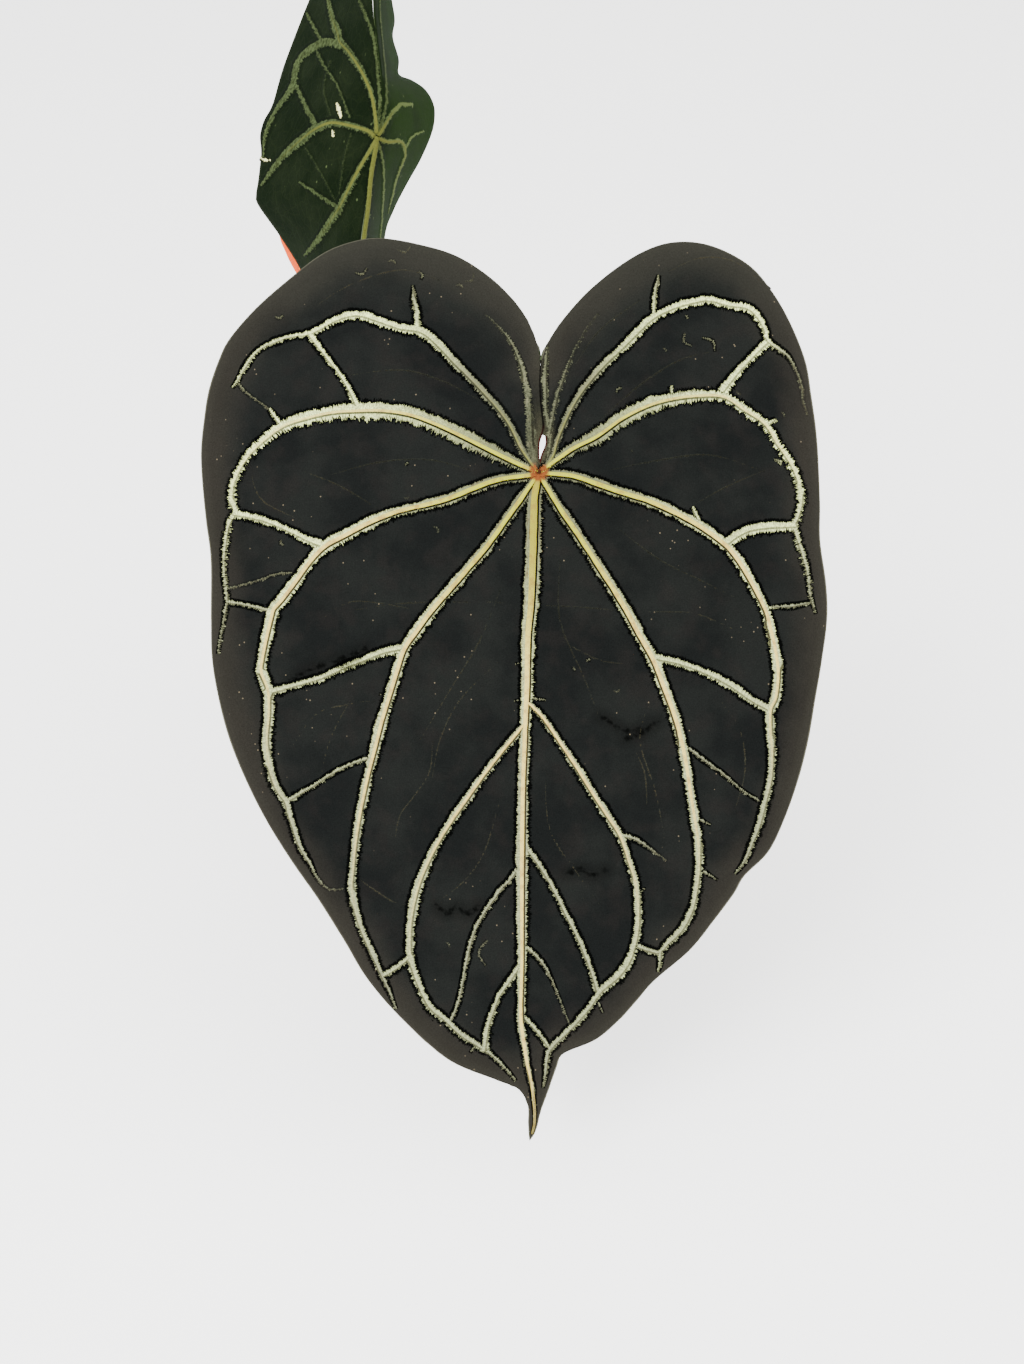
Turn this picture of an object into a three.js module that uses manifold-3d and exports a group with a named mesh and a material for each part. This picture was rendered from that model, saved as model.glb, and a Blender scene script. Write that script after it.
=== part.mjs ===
// A potted anthurium hybrid: three leaves on a short stem, in bark mix, in a clay pot.
// Millimetres, +Z up. The origin is the middle of the pot's underside.
// The leaves' outlines and veins are written as they are seen from one view point,
// in picture units, and laid on surfaces at a real distance from it.

import * as THREE from "three";
import { mergeVertices } from "three/addons/utils/BufferGeometryUtils.js";
import Module from "manifold-3d";

const wasm = await Module();
wasm.setup();

// Driving dimensions
const CLEARANCE = 0.35;
const POT = {
  height: 112, baseRadius: 42, rimRadius: 63, rimDrop: 28, rimStep: 5, wall: 6, floor: 7, round: 1.5, sides: 36,
};
const DRAIN = { count: 4, radius: 4.5, ring: 19, sides: 12 };
const SOIL = { edgeHeight: 96, mound: 5, ripple: 0.8, rings: 4, sides: 24 };
const CHIPS = {
  count: 24, reach: 45, long: [7, 14], wide: [5, 9], thick: [3.5, 6], tilt: 0.45, turn: 2.39996, seed: 17,
};
const STEM = {
  foot: [1, 7, 58], top: [0, 3, 134], radius: 9.5, dome: 0.14, taper: 0.55, scar: 0.7, scars: 5,
  sides: 10, steps: 20,
};
const ROOT = { sides: 5, steps: 6 };
const SHEATH = { columns: 6, steps: 8, taper: 0.6 };
const STALK_SIDES = 8;
const BLADE_THICKNESS = 0.8;
const RIB_CROWN = 1.6;
const RIB_GAP = 0.3;

// The view point: how far it looks down, and where its line meets the front leaf
const VIEW_ELEVATION = THREE.MathUtils.degToRad(35);
const VIEW_FOCAL = 1500;
const VIEW_CENTRE = { x: 512, y: 682 };
const VIEW_TARGET = new THREE.Vector3(0, -155.6, 169);
const FRONT_DEPTH = 500;

const sight = new THREE.Vector3(0, Math.cos(VIEW_ELEVATION), -Math.sin(VIEW_ELEVATION));
const upward = new THREE.Vector3(0, Math.sin(VIEW_ELEVATION), Math.cos(VIEW_ELEVATION));
const across = new THREE.Vector3(1, 0, 0);
const eye = VIEW_TARGET.clone().addScaledVector(sight, -FRONT_DEPTH);

// The point seen at picture place x, y and at a depth in millimetres from the view point
function place(x, y, depth) {
  const scale = depth / VIEW_FOCAL;
  return eye.clone()
    .addScaledVector(sight, depth)
    .addScaledVector(across, (x - VIEW_CENTRE.x) * scale)
    .addScaledVector(upward, (VIEW_CENTRE.y - y) * scale);
}

const flatCurve = (points) => new THREE.SplineCurve(points.map(([x, y]) => new THREE.Vector2(x, y)));
const spaceCurve = (points) => new THREE.CatmullRomCurve3(points.map((p) => new THREE.Vector3(...p)));

// The same small random numbers every time
function randomFrom(seed) {
  let state = seed;
  return () => {
    state = (state * 1664525 + 1013904223) % 4294967296;
    return state / 4294967296;
  };
}

// A value read from a short list that is spread evenly from 0 to 1
function along(values, share) {
  const reach = share * (values.length - 1);
  const index = Math.min(Math.floor(reach), values.length - 2);
  return THREE.MathUtils.lerp(values[index], values[index + 1], reach - index);
}

function toSolid(geometry) {
  const bare = geometry.clone();
  bare.deleteAttribute("normal");
  bare.deleteAttribute("uv");
  const merged = mergeVertices(bare, 1e-4);
  return new wasm.Manifold(new wasm.Mesh({
    numProp: 3,
    vertProperties: new Float32Array(merged.attributes.position.array),
    triVerts: new Uint32Array(merged.index.array),
  }));
}

function toGeometry(solid) {
  const mesh = solid.getMesh();
  const geometry = new THREE.BufferGeometry();
  geometry.setAttribute("position", new THREE.BufferAttribute(mesh.vertProperties, 3));
  geometry.setIndex(new THREE.BufferAttribute(mesh.triVerts, 1));
  return geometry;
}

const joined = (geometries) => toGeometry(geometries.map(toSolid).reduce((sum, next) => sum.add(next)));
const cut = (geometry, cutter) => toGeometry(toSolid(geometry).subtract(toSolid(cutter)));

// What is left of a piece once it is cut and its loose scraps are dropped
function mainPiece(geometry) {
  const pieces = toSolid(geometry).decompose();
  return toGeometry(pieces.reduce((most, next) => (next.volume() > most.volume() ? next : most)));
}

function fromFaces(points, faces) {
  const geometry = new THREE.BufferGeometry().setFromPoints(points);
  geometry.setIndex(faces.flat());
  return geometry;
}

// A sheet with its corners shared and its collapsed triangles left out
function sheetFromGrids(grids) {
  const points = [];
  const faces = [];
  for (const { rows, flip } of grids) {
    const width = rows[0].length;
    const first = points.length;
    points.push(...rows.flat());
    for (let row = 0; row + 1 < rows.length; row += 1) {
      for (let column = 0; column + 1 < width; column += 1) {
        const a = first + row * width + column;
        const [b, c, d] = [a + 1, a + width + 1, a + width];
        faces.push(...(flip ? [[a, c, b], [a, d, c]] : [[a, b, c], [a, c, d]]));
      }
    }
  }
  const merged = mergeVertices(fromFaces(points, faces), 1e-4);
  const kept = [];
  for (let i = 0; i < merged.index.count; i += 3) {
    const [a, b, c] = merged.index.array.slice(i, i + 3);
    if (a !== b && b !== c && a !== c) kept.push(a, b, c);
  }
  merged.setIndex(kept);
  return merged;
}

// A sheet made solid: its face, moved out by the lift, the same face set back by the
// thickness, and the rim between
function thicken(sheet, thickness, lift = 0) {
  sheet.computeVertexNormals();
  const { position, normal } = sheet.attributes;
  const count = position.count;
  const face = [];
  const back = [];
  for (let i = 0; i < count; i += 1) {
    const point = new THREE.Vector3().fromBufferAttribute(position, i);
    const out = new THREE.Vector3().fromBufferAttribute(normal, i);
    face.push(point.clone().addScaledVector(out, lift));
    back.push(point.clone().addScaledVector(out, -thickness));
  }
  const faces = [];
  const rim = new Map();
  for (let i = 0; i < sheet.index.count; i += 3) {
    const [a, b, c] = sheet.index.array.slice(i, i + 3);
    faces.push([a, b, c], [c + count, b + count, a + count]);
    for (const [from, to] of [[a, b], [b, c], [c, a]]) {
      if (!rim.delete(`${to} ${from}`)) rim.set(`${from} ${to}`, [from, to]);
    }
  }
  for (const [from, to] of rim.values()) {
    faces.push([to, from, from + count], [to, from + count, to + count]);
  }
  return fromFaces([...face, ...back], faces);
}

// A round limb along a path, with its radius given along the way
function limb(path, radii, sides, steps, extra = 0) {
  const frames = path.computeFrenetFrames(steps, false);
  const points = [];
  const faces = [];
  for (let step = 0; step <= steps; step += 1) {
    const centre = path.getPointAt(step / steps);
    const radius = along(radii, step / steps) + extra;
    for (let side = 0; side < sides; side += 1) {
      const angle = (side / sides) * 2 * Math.PI;
      points.push(centre.clone()
        .addScaledVector(frames.normals[step], Math.cos(angle) * radius)
        .addScaledVector(frames.binormals[step], Math.sin(angle) * radius));
    }
  }
  for (let step = 0; step < steps; step += 1) {
    for (let side = 0; side < sides; side += 1) {
      const a = step * sides + side;
      const b = step * sides + ((side + 1) % sides);
      faces.push([a, b, b + sides], [a, b + sides, a + sides]);
    }
  }
  const [foot, tip] = [points.length, points.length + 1];
  points.push(path.getPointAt(0).addScaledVector(frames.tangents[0], -extra));
  points.push(path.getPointAt(1).addScaledVector(frames.tangents[steps], extra));
  for (let side = 0; side < sides; side += 1) {
    const next = (side + 1) % sides;
    faces.push([foot, next, side], [tip, steps * sides + side, steps * sides + next]);
  }
  return fromFaces(points, faces);
}

// Leaf outlines, from the tip round to the mouth of the sinus, in picture units
const FRONT = {
  midrib: [[531, 1140], [534, 1118], [527, 1062], [521, 1015], [522, 943], [523, 828], [525.7, 718],
    [531, 603], [534.6, 520], [539, 472]],
  left: {
    margin: [[531, 1140], [528.5, 1124], [528, 1106], [518, 1089], [496, 1080], [449, 1060], [403, 1020],
      [368, 980], [344, 940], [319, 900], [291, 860], [266, 820], [246, 780], [230, 740], [219, 700],
      [212, 660], [211, 620], [211, 560], [206, 520], [202, 480], [201, 450], [204, 420], [209, 390],
      [219, 360], [230, 338], [256, 308], [289, 279], [322, 254], [351, 242], [380, 238], [418, 244],
      [457, 256], [492, 279], [520, 308], [537, 336], [540.5, 360]],
    sinus: [[539, 472], [538.5, 456], [539.5, 442], [542.5, 427], [541.8, 400], [540.5, 360]],
    junctionShare: 0.63,
  },
  right: {
    margin: [[531, 1140], [536, 1130], [541, 1110], [549, 1088], [556, 1068], [563, 1054], [595, 1040],
      [619, 1020], [637, 1000], [655, 980], [690, 950], [714, 920], [734, 893], [744, 876], [768, 852],
      [784, 820], [798, 780], [808, 740], [815, 700], [822, 660], [827, 620], [826, 585], [820, 540],
      [820, 500], [817, 440], [811, 395], [805, 360], [789, 320], [769, 287], [746, 263], [709, 245],
      [674, 242], [642, 252], [607, 275], [577, 303], [551, 336], [542.5, 360]],
    sinus: [[539, 472], [541.5, 456], [546, 442], [544.6, 427], [543.7, 400], [542.5, 360]],
    junctionShare: 0.63,
  },
  rowsBelow: 24,
  rowsAbove: 13,
  columns: 8,
  rib: { step: 26, foot: 0.55 },
};

// The front leaf's veins: points in picture units, and widths from start to end
const FRONT_VEINS = {
  hub: { points: [[527, 474], [552, 474]], widths: [10, 17, 10] },
  midrib: {
    points: [[537, 480], [533, 552], [528, 637], [525.7, 718], [523, 790], [522, 866], [522, 943],
      [521, 1015], [527.5, 1065], [532.5, 1104]],
    widths: [17, 18, 15, 12, 13, 13, 11, 8, 5],
  },
  sinusLeft: {
    points: [[536, 466], [532, 430], [528, 396], [521, 365], [508, 336], [492, 319]],
    widths: [8, 11, 10, 6, 3],
  },
  topLeft: {
    points: [[534.6, 467], [509, 424], [473, 381], [438, 345], [415, 328], [379, 321], [358, 316], [338, 319],
      [311, 333], [276.5, 341], [251, 359], [239, 378]],
    widths: [8, 9, 9, 10, 10, 10, 8, 5, 3],
  },
  topLeftSpur: { points: [[417, 326], [413, 285]], widths: [6, 4] },
  topLeftLink: { points: [[311, 334], [334, 366.5], [358, 409]], widths: [8, 6, 9] },
  upperLeft: {
    points: [[529.5, 471], [461, 436], [410, 415], [359, 411], [308, 418], [256.5, 447], [233.6, 483],
      [235, 513], [224.6, 552], [227, 598], [219, 650]],
    widths: [8, 16, 18, 16, 14, 10, 6, 4, 3],
  },
  upperLeftLink: { points: [[235, 516], [269, 522], [322, 546]], widths: [9, 7, 12] },
  upperLeftTie: { points: [[227, 602], [272, 611]], widths: [4, 5] },
  middleLeft: {
    points: [[529.5, 475], [473, 489], [422, 506], [371, 522], [325, 546.5], [297, 580], [272, 616],
      [261.6, 672], [269, 713], [269, 764], [286, 802], [300, 846], [314, 873]],
    widths: [9, 10, 11, 13, 14, 11, 14, 10, 8, 6, 3],
  },
  lowerLeft: {
    points: [[530, 484], [489, 544], [448, 592], [404.5, 649], [389, 698], [369, 772], [356, 841], [352, 889],
      [364, 935], [384, 976]],
    widths: [9, 10, 11, 12, 12, 10, 8, 6],
  },
  lowerLeftTip: { points: [[382, 976], [410, 957]], widths: [6, 7] },
  lowerLeftLink: { points: [[403, 648], [343, 668], [267, 693]], widths: [9, 7, 9] },
  lowerLeftTie: { points: [[371, 757], [333, 773], [285, 802]], widths: [4, 4] },
  sideLeft: {
    points: [[524, 725], [486, 772], [450, 823], [422, 876], [411, 922], [411, 961], [430, 1006.5],
      [462, 1035], [488, 1052], [510, 1076]],
    widths: [8, 9, 10, 11, 10, 9, 8, 6, 3],
  },
  innerLeft: { points: [[521, 864], [501, 889], [473, 935], [459, 1000], [454, 1029]], widths: [5, 5] },
  tipLeft: { points: [[521, 965], [499, 996], [485, 1050]], widths: [7, 6, 8] },
  sinusRight: { points: [[548, 464], [551, 445], [549, 415], [547.5, 380], [552, 346]], widths: [6, 6, 3] },
  sinusRightTwig: { points: [[549, 425], [557, 396], [567, 368]], widths: [6, 5, 3] },
  topRight: {
    points: [[548, 465], [558, 439], [586, 386], [622, 348], [653, 318], [693.5, 302], [729, 305], [757, 316],
      [770, 342], [788, 356.5], [802, 395], [806, 412]],
    widths: [6, 8, 9, 9, 9, 7, 4, 3],
  },
  topRightSpur: { points: [[655, 316], [659, 275]], widths: [5, 4] },
  topRightLink: { points: [[767, 342], [737, 373], [721, 395]], widths: [7, 9, 11] },
  upperRight: {
    points: [[548, 467], [596.5, 437], [648, 406], [699, 396], [727, 399], [765, 424], [790, 462], [801, 501],
      [794, 526], [801, 549], [811, 598], [815, 612]],
    widths: [8, 14, 17, 13, 10, 8, 7, 5, 3],
  },
  upperRightLink: { points: [[797, 526], [750, 530], [725, 547]], widths: [11, 11, 12] },
  middleRight: {
    points: [[548, 471], [596.5, 484], [648, 501], [699, 526], [737, 559], [762, 603], [775.5, 652],
      [775.5, 698], [771, 735], [770.5, 779], [759, 825], [744, 862]],
    widths: [9, 10, 11, 12, 12, 10, 8, 6, 4],
  },
  lowerRight: {
    points: [[546, 482], [574, 529], [604, 575], [640, 636.5], [663, 685], [681, 739], [694, 815], [699, 866],
      [691, 912], [668, 943], [654, 951], [636, 946]],
    widths: [8, 10, 12, 12, 11, 9, 8, 6],
  },
  lowerRightLink: { points: [[654, 658], [704, 672], [774, 711]], widths: [8, 9, 9] },
  lowerRightTie: { points: [[684, 745], [722, 773], [765, 806]], widths: [4, 3] },
  sideRight: {
    points: [[526, 702], [561, 744], [592, 792], [620, 835.5], [635, 881], [638, 925], [629, 961], [601, 991],
      [571, 1028], [548, 1056], [545, 1078]],
    widths: [8, 8, 9, 9, 9, 7, 5, 3],
  },
  innerRight: { points: [[523, 844], [556, 894], [580, 942], [602, 994]], widths: [6, 6, 7] },
  tipRight: { points: [[521, 1014], [548, 1052]], widths: [5, 5] },
};

// How the front leaf's face lies: sides, lobes and tip fall back from a middle that faces the view
const DRAPE = { side: 13, sideReach: 315, sideCentre: 539, length: 22, lengthReach: 480, lengthCentre: 652 };
const QUILT = { height: 1.5, reach: 42 };
const FRONT_WAVE = { height: 2.6, band: 75, count: 13, centre: [530, 620] };

const sampled = (curve, step) => curve.getSpacedPoints(Math.ceil(curve.getLength() / step));
const nearest = (points, x, y) => Math.min(...points.map((p) => Math.hypot(p.x - x, p.y - y)));

const frontVeinPoints = Object.values(FRONT_VEINS).flatMap(({ points }) => sampled(flatCurve(points), 12));
const frontEdgePoints = [FRONT.left, FRONT.right].flatMap(({ margin }) => sampled(flatCurve(margin), 12));

function frontDepth(x, y) {
  const side = DRAPE.side * ((x - DRAPE.sideCentre) / DRAPE.sideReach) ** 2;
  const length = DRAPE.length * ((y - DRAPE.lengthCentre) / DRAPE.lengthReach) ** 2;
  const quilt = QUILT.height * (1 - Math.exp(-((nearest(frontVeinPoints, x, y) / QUILT.reach) ** 2)));
  const edge = Math.max(0, 1 - nearest(frontEdgePoints, x, y) / FRONT_WAVE.band);
  const turn = Math.atan2(y - FRONT_WAVE.centre[1], x - FRONT_WAVE.centre[0]);
  const wave = FRONT_WAVE.height * edge ** 2 * Math.sin(FRONT_WAVE.count * turn);
  return FRONT_DEPTH + side + length - quilt + wave;
}

// The back leaf: younger, folded along its midrib, both halves swept back from it
const BACK = {
  midrib: [[338, 606], [343, 500], [350, 400], [358, 300], [364, 238], [368, 209], [371, 176], [376.5, 138]],
  left: {
    margin: [[338, 606], [331, 560], [322, 480], [315, 400], [311, 330], [307, 290], [299, 267], [279, 235],
      [258, 205], [256, 194], [258, 181], [264, 137], [275, 96], [284, 65], [301, 20], [309, 0], [320, -28],
      [335, -50], [350, -56], [363, -47], [369.5, -28]],
    sinus: [[376.5, 138], [379.5, 110], [380, 85], [377, 55], [373, 20], [369.5, -28]],
    junctionShare: 0.64,
  },
  right: {
    margin: [[338, 606], [350, 540], [362, 460], [372, 380], [380, 300], [385, 237], [393.5, 211],
      [406.5, 185], [421, 159], [432, 133], [435, 115], [433, 102], [425, 89], [412, 80], [399, 74],
      [399, 59], [393, 37], [395, 20], [392, 0], [388, -24], [380, -38], [373, -28]],
    sinus: [[376.5, 138], [382, 110], [382.5, 85], [379.5, 55], [375.5, 20], [373, -28]],
    junctionShare: 0.69,
  },
  halfWidth: 80,
  depths: { tip: 574, junction: 560, mouth: 574 },
  fold: 1.35,
  wave: { height: 3, count: 5 },
  rowsBelow: 18,
  rowsAbove: 12,
  columns: 7,
  rib: { step: 20, foot: 0.8 },
};

const BACK_VEINS = {
  hub: { points: [[376, 127], [376.3, 138], [375, 151]], widths: [5, 12, 7] },
  midrib: {
    points: [[376.5, 136], [371, 176], [364, 238], [358, 300], [350, 400], [343, 500], [340, 570]],
    widths: [5, 5, 5, 4, 3],
  },
  lobe: {
    points: [[376, 130], [372, 96], [358, 65], [342, 46], [334, 20], [328, -4], [333, -28]],
    widths: [5, 6, 8, 5, 3],
  },
  edge: {
    points: [[343, 46], [320, 44], [305, 54], [294, 80], [277, 109], [267, 135], [264, 158]],
    widths: [9, 10, 6, 6, 3],
  },
  edgeLink: { points: [[294, 82], [308, 111], [318, 127]], widths: [6, 7] },
  upper: {
    points: [[374, 136.5], [351, 127], [332, 123.5], [316, 129], [300, 142], [278, 164], [265, 181]],
    widths: [7, 9, 10, 9, 6],
  },
  lower: { points: [[375.5, 141], [360, 168], [340, 207], [320, 238], [306, 253]], widths: [7, 8, 8, 6] },
  lowerTwig: { points: [[340, 209], [320, 196], [299, 182]], widths: [4, 3] },
  hidden: { points: [[363, 262], [342, 300], [328, 350], [323, 400]], widths: [5, 6, 4] },
  hiddenLow: { points: [[352, 370], [337, 420], [330, 480]], widths: [4, 4] },
  sinusLeft: { points: [[374, 131], [376, 92], [371, 40], [360, 12], [347, -22]], widths: [4, 5, 5] },
  sinusRight: { points: [[382, 133], [386, 96], [383.5, 60], [380, 26], [379, -16]], widths: [4, 3] },
  sinusTwig: { points: [[386, 96], [389, 74], [388, 50]], widths: [3, 3] },
  rightLobe: { points: [[378, 137], [391, 115], [401, 106], [413, 106]], widths: [7, 6, 4] },
  rightUpper: { points: [[378, 138.5], [400, 142], [405, 156], [397, 178], [388, 212]], widths: [5, 5, 4] },
  rightLoop: { points: [[404, 150], [414, 137], [421, 134]], widths: [4, 4] },
  rightLower: { points: [[376.5, 142], [383, 177], [380, 228], [374, 290], [368, 350]], widths: [3, 3] },
};

// The newest leaf, small and copper-coloured, behind the other two
const YOUNG = {
  midrib: [[330, 335], [327, 300], [321, 245], [315, 189]],
  left: {
    margin: [[330, 335], [318, 311], [305, 288], [295.5, 272], [289, 260], [284.5, 250], [280.5, 240],
      [277.5, 224], [279, 203], [287, 184], [298, 172], [308, 169], [313.5, 177]],
    sinus: [[315, 189], [314.3, 184], [313.5, 177]],
    junctionShare: 0.66,
  },
  right: {
    margin: [[330, 335], [339, 311], [346, 286], [349, 260], [349, 236], [345, 212], [338, 192], [329, 177],
      [321, 170], [316.5, 177]],
    sinus: [[315, 189], [315.9, 184], [316.5, 177]],
    junctionShare: 0.7,
  },
  halfWidth: 25,
  depths: { tip: 664, junction: 670, mouth: 674 },
  fold: 1.5,
  wave: { height: 1, count: 4 },
  rowsBelow: 8,
  rowsAbove: 4,
  columns: 4,
  rib: { step: 16, foot: 0.7 },
};

const YOUNG_VEINS = {
  midrib: { points: [[315.2, 191], [321, 245], [328, 310]], widths: [5, 4, 3] },
  upperLeft: { points: [[316, 191], [300, 197], [287, 215], [286, 232]], widths: [4, 3] },
  lowerLeft: { points: [[317, 198], [305, 222], [298, 248], [301, 268]], widths: [4, 3] },
  upperRight: { points: [[315, 191], [329, 198], [338, 218], [341, 240]], widths: [4, 3] },
  lowerRight: { points: [[318, 200], [331, 226], [337, 258], [337, 282]], widths: [4, 3] },
  lobeLeft: { points: [[314, 190], [303, 182], [291, 188]], widths: [3, 3] },
  lobeRight: { points: [[316, 190], [325, 183], [333, 194]], widths: [3, 3] },
};

// A folded leaf's half width, by how far a row is up its spine: full at the junction,
// nothing at the tip and at the mouth of the sinus
function naturalWidth(leaf, below, share) {
  return leaf.halfWidth * (below ? (1 - (1 - share) ** 2) ** 0.75 : (1 - share ** 3) ** 0.6);
}

// The picture places of one half's grid: rows run straight from the spine to the margin
function bladeRows(leaf, half) {
  const midrib = flatCurve(leaf.midrib);
  const sinus = flatCurve(half.sinus);
  const margin = flatCurve(half.margin);
  const rows = [];
  for (let row = 0; row <= leaf.rowsBelow + leaf.rowsAbove; row += 1) {
    const below = row <= leaf.rowsBelow;
    const share = below ? row / leaf.rowsBelow : (row - leaf.rowsBelow) / leaf.rowsAbove;
    const inner = below ? midrib.getPointAt(share) : sinus.getPointAt(share);
    const reach = below ? share * half.junctionShare : half.junctionShare + share * (1 - half.junctionShare);
    rows.push({ below, share, inner, outer: margin.getPointAt(reach) });
  }
  return rows;
}

function facingGrid(leaf, half) {
  return bladeRows(leaf, half).map(({ inner, outer }) => {
    const row = [];
    for (let column = 0; column <= leaf.columns; column += 1) {
      const spot = inner.clone().lerp(outer, column / leaf.columns);
      row.push(place(spot.x, spot.y, frontDepth(spot.x, spot.y)));
    }
    return row;
  });
}

// Each row of a folded half is as long as the flat leaf is wide there: what the picture
// doesn't show of that length goes back from the eye
function foldedGrid(leaf, half) {
  const { tip, junction, mouth } = leaf.depths;
  return bladeRows(leaf, half).map(({ below, share, inner, outer }) => {
    const spineDepth = THREE.MathUtils.lerp(below ? tip : junction, below ? junction : mouth, share);
    const seen = inner.distanceTo(outer) * spineDepth / VIEW_FOCAL;
    const width = naturalWidth(leaf, below, share);
    const back = Math.sqrt(Math.max(width ** 2 - seen ** 2, (0.2 * width) ** 2));
    const row = [];
    for (let column = 0; column <= leaf.columns; column += 1) {
      const reach = column / leaf.columns;
      const spot = inner.clone().lerp(outer, reach);
      const around = (below ? share : 1 + share) * Math.PI * leaf.wave.count;
      const wave = leaf.wave.height * reach ** 3 * Math.sin(around) * (width / leaf.halfWidth);
      row.push(place(spot.x, spot.y, spineDepth + back * reach ** leaf.fold + wave));
    }
    return row;
  });
}

function blade(leaf, grid, extra = 0) {
  const sheet = sheetFromGrids([
    { rows: grid(leaf, leaf.left), flip: false },
    { rows: grid(leaf, leaf.right), flip: true },
  ]);
  return thicken(sheet, BLADE_THICKNESS + extra, extra);
}

// One raised rib: two feet on the blade's face and a crown line between them, carried along
// the vein. A foot that would run off the blade is drawn in towards the vein's middle.
function rib(face, vein, { step, foot }) {
  const curve = flatCurve(vein.points);
  const steps = Math.max(1, Math.round(curve.getLength() / step));
  const caster = new THREE.Raycaster();
  const drop = (centre, tangent, offset) => {
    for (const share of [1, 0.75, 0.5, 0.25, 0]) {
      const [x, y] = [centre.x - tangent.y * offset * share, centre.y + tangent.x * offset * share];
      caster.set(eye, place(x, y, FRONT_DEPTH).sub(eye).normalize());
      const [hit] = caster.intersectObject(face);
      if (hit) return { point: hit.point, out: hit.face.normal.clone() };
    }
    throw new Error(`a vein runs off its blade at ${centre.x}, ${centre.y}`);
  };
  const points = [];
  const faces = [];
  for (let i = 0; i <= steps; i += 1) {
    const centre = curve.getPointAt(i / steps);
    const tangent = curve.getTangentAt(i / steps);
    const half = along(vein.widths, i / steps) / 2;
    const [left, middle, right] = [-half, 0, half].map((offset) => drop(centre, tangent, offset));
    const out = left.out.clone().add(middle.out).add(right.out).normalize();
    points.push(left.point.addScaledVector(left.out, foot), right.point.addScaledVector(right.out, foot));
    points.push(middle.point.addScaledVector(out, RIB_CROWN));
  }
  for (let i = 0; i < steps; i += 1) {
    for (let corner = 0; corner < 3; corner += 1) {
      const a = i * 3 + corner;
      const b = i * 3 + ((corner + 1) % 3);
      faces.push([a, b + 3, b], [a, a + 3, b + 3]);
    }
  }
  const end = steps * 3;
  faces.push([0, 1, 2], [end, end + 2, end + 1]);
  return fromFaces(points, faces);
}

// All the ribs of a leaf as one body, clear of the blade where it bulges between their sections
function net(leaf, grid, veins) {
  const face = new THREE.Mesh(blade(leaf, grid), new THREE.MeshBasicMaterial());
  const ribs = joined(Object.values(veins).map((vein) => rib(face, vein, leaf.rib)));
  return mainPiece(cut(ribs, joined([blade(leaf, grid), blade(leaf, grid, RIB_GAP)])));
}

// The radius of the pot's inner wall at a height
function potInside(z) {
  const top = POT.rimRadius - POT.wall - POT.round / 3;
  const bottom = POT.baseRadius - POT.wall + POT.round;
  return THREE.MathUtils.mapLinear(z, POT.floor, POT.height - POT.round, bottom, top);
}

// The pot: a thrown wall with a thick rim, drained by holes round the middle of its floor
function pot() {
  const { height, baseRadius, rimRadius, rimDrop, rimStep, wall, floor, round, sides } = POT;
  const rimFoot = height - rimDrop;
  const profile = [
    [0, 0], [baseRadius - round, 0], [baseRadius, round], [rimRadius - rimStep - round, rimFoot],
    [rimRadius - round, rimFoot], [rimRadius - round / 2, rimFoot + round], [rimRadius, height - round],
    [rimRadius - round, height], [rimRadius - wall + round, height],
    [potInside(height - round), height - round], [potInside(floor), floor], [0, floor],
  ].map(([r, z]) => new THREE.Vector2(r, z));
  const body = new THREE.LatheGeometry(profile, sides).rotateX(Math.PI / 2);
  const holes = [];
  for (let i = 0; i < DRAIN.count; i += 1) {
    const angle = ((i + 0.5) / DRAIN.count) * 2 * Math.PI;
    const hole = new THREE.CylinderGeometry(DRAIN.radius, DRAIN.radius, floor * 3, DRAIN.sides);
    hole.rotateX(Math.PI / 2).translate(Math.cos(angle) * DRAIN.ring, Math.sin(angle) * DRAIN.ring, floor / 2);
    holes.push(hole);
  }
  return holes.reduce((sum, hole) => cut(sum, hole), body);
}

const stemPath = spaceCurve([STEM.foot, [2, 6, 84], [1.5, 4, 110], STEM.top]);
const stemRadii = Array.from({ length: STEM.steps + 1 }, (_, i) => {
  const share = i / STEM.steps;
  const dome = Math.max(0, (share - 1 + STEM.dome) / STEM.dome);
  const ring = STEM.scar * Math.cos(share * STEM.scars * 2 * Math.PI);
  return STEM.radius * (1 - STEM.taper * dome ** 2) + ring;
});

// Cord-like roots that leave the stem above the bark and go down into it
const ROOTS = [
  { points: [[6, 6, 103], [15, 8, 105], [22, 9, 99], [24, 9, 84]], radii: [2.4, 2.1, 1.9, 1.7] },
  { points: [[-4, 8, 113], [-13, 14, 110], [-18, 19, 100], [-20, 21, 86]], radii: [2.2, 2, 1.8, 1.6] },
  { points: [[6, -1, 98], [14, -5, 100], [21, -9, 95], [24, -11, 80]], radii: [2.5, 2.2, 2, 1.8] },
  { points: [[-5, 1, 109], [-13, -7, 107], [-18, -12, 98], [-20, -14, 84]], radii: [2.2, 2, 1.8, 1.6] },
  { points: [[2, -3, 114], [9, -13, 110], [11, -20, 99], [11, -23, 85]], radii: [2.3, 2, 1.8, 1.6] },
];

function stem(extra = 0) {
  const trunk = limb(stemPath, stemRadii, STEM.sides, STEM.steps, extra);
  const { sides, steps } = ROOT;
  const roots = ROOTS.map(({ points, radii }) => limb(spaceCurve(points), radii, sides, steps, extra));
  return joined([trunk, ...roots]);
}

// The height of the bark mix: a low mound with a slight ripple
function soilTop(x, y) {
  const reach = Math.hypot(x, y) / potInside(SOIL.edgeHeight);
  const ripple = SOIL.ripple * Math.sin(x * 0.31 + 1) * Math.cos(y * 0.27);
  return SOIL.edgeHeight + SOIL.mound * (1 - reach ** 2) + ripple;
}

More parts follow.
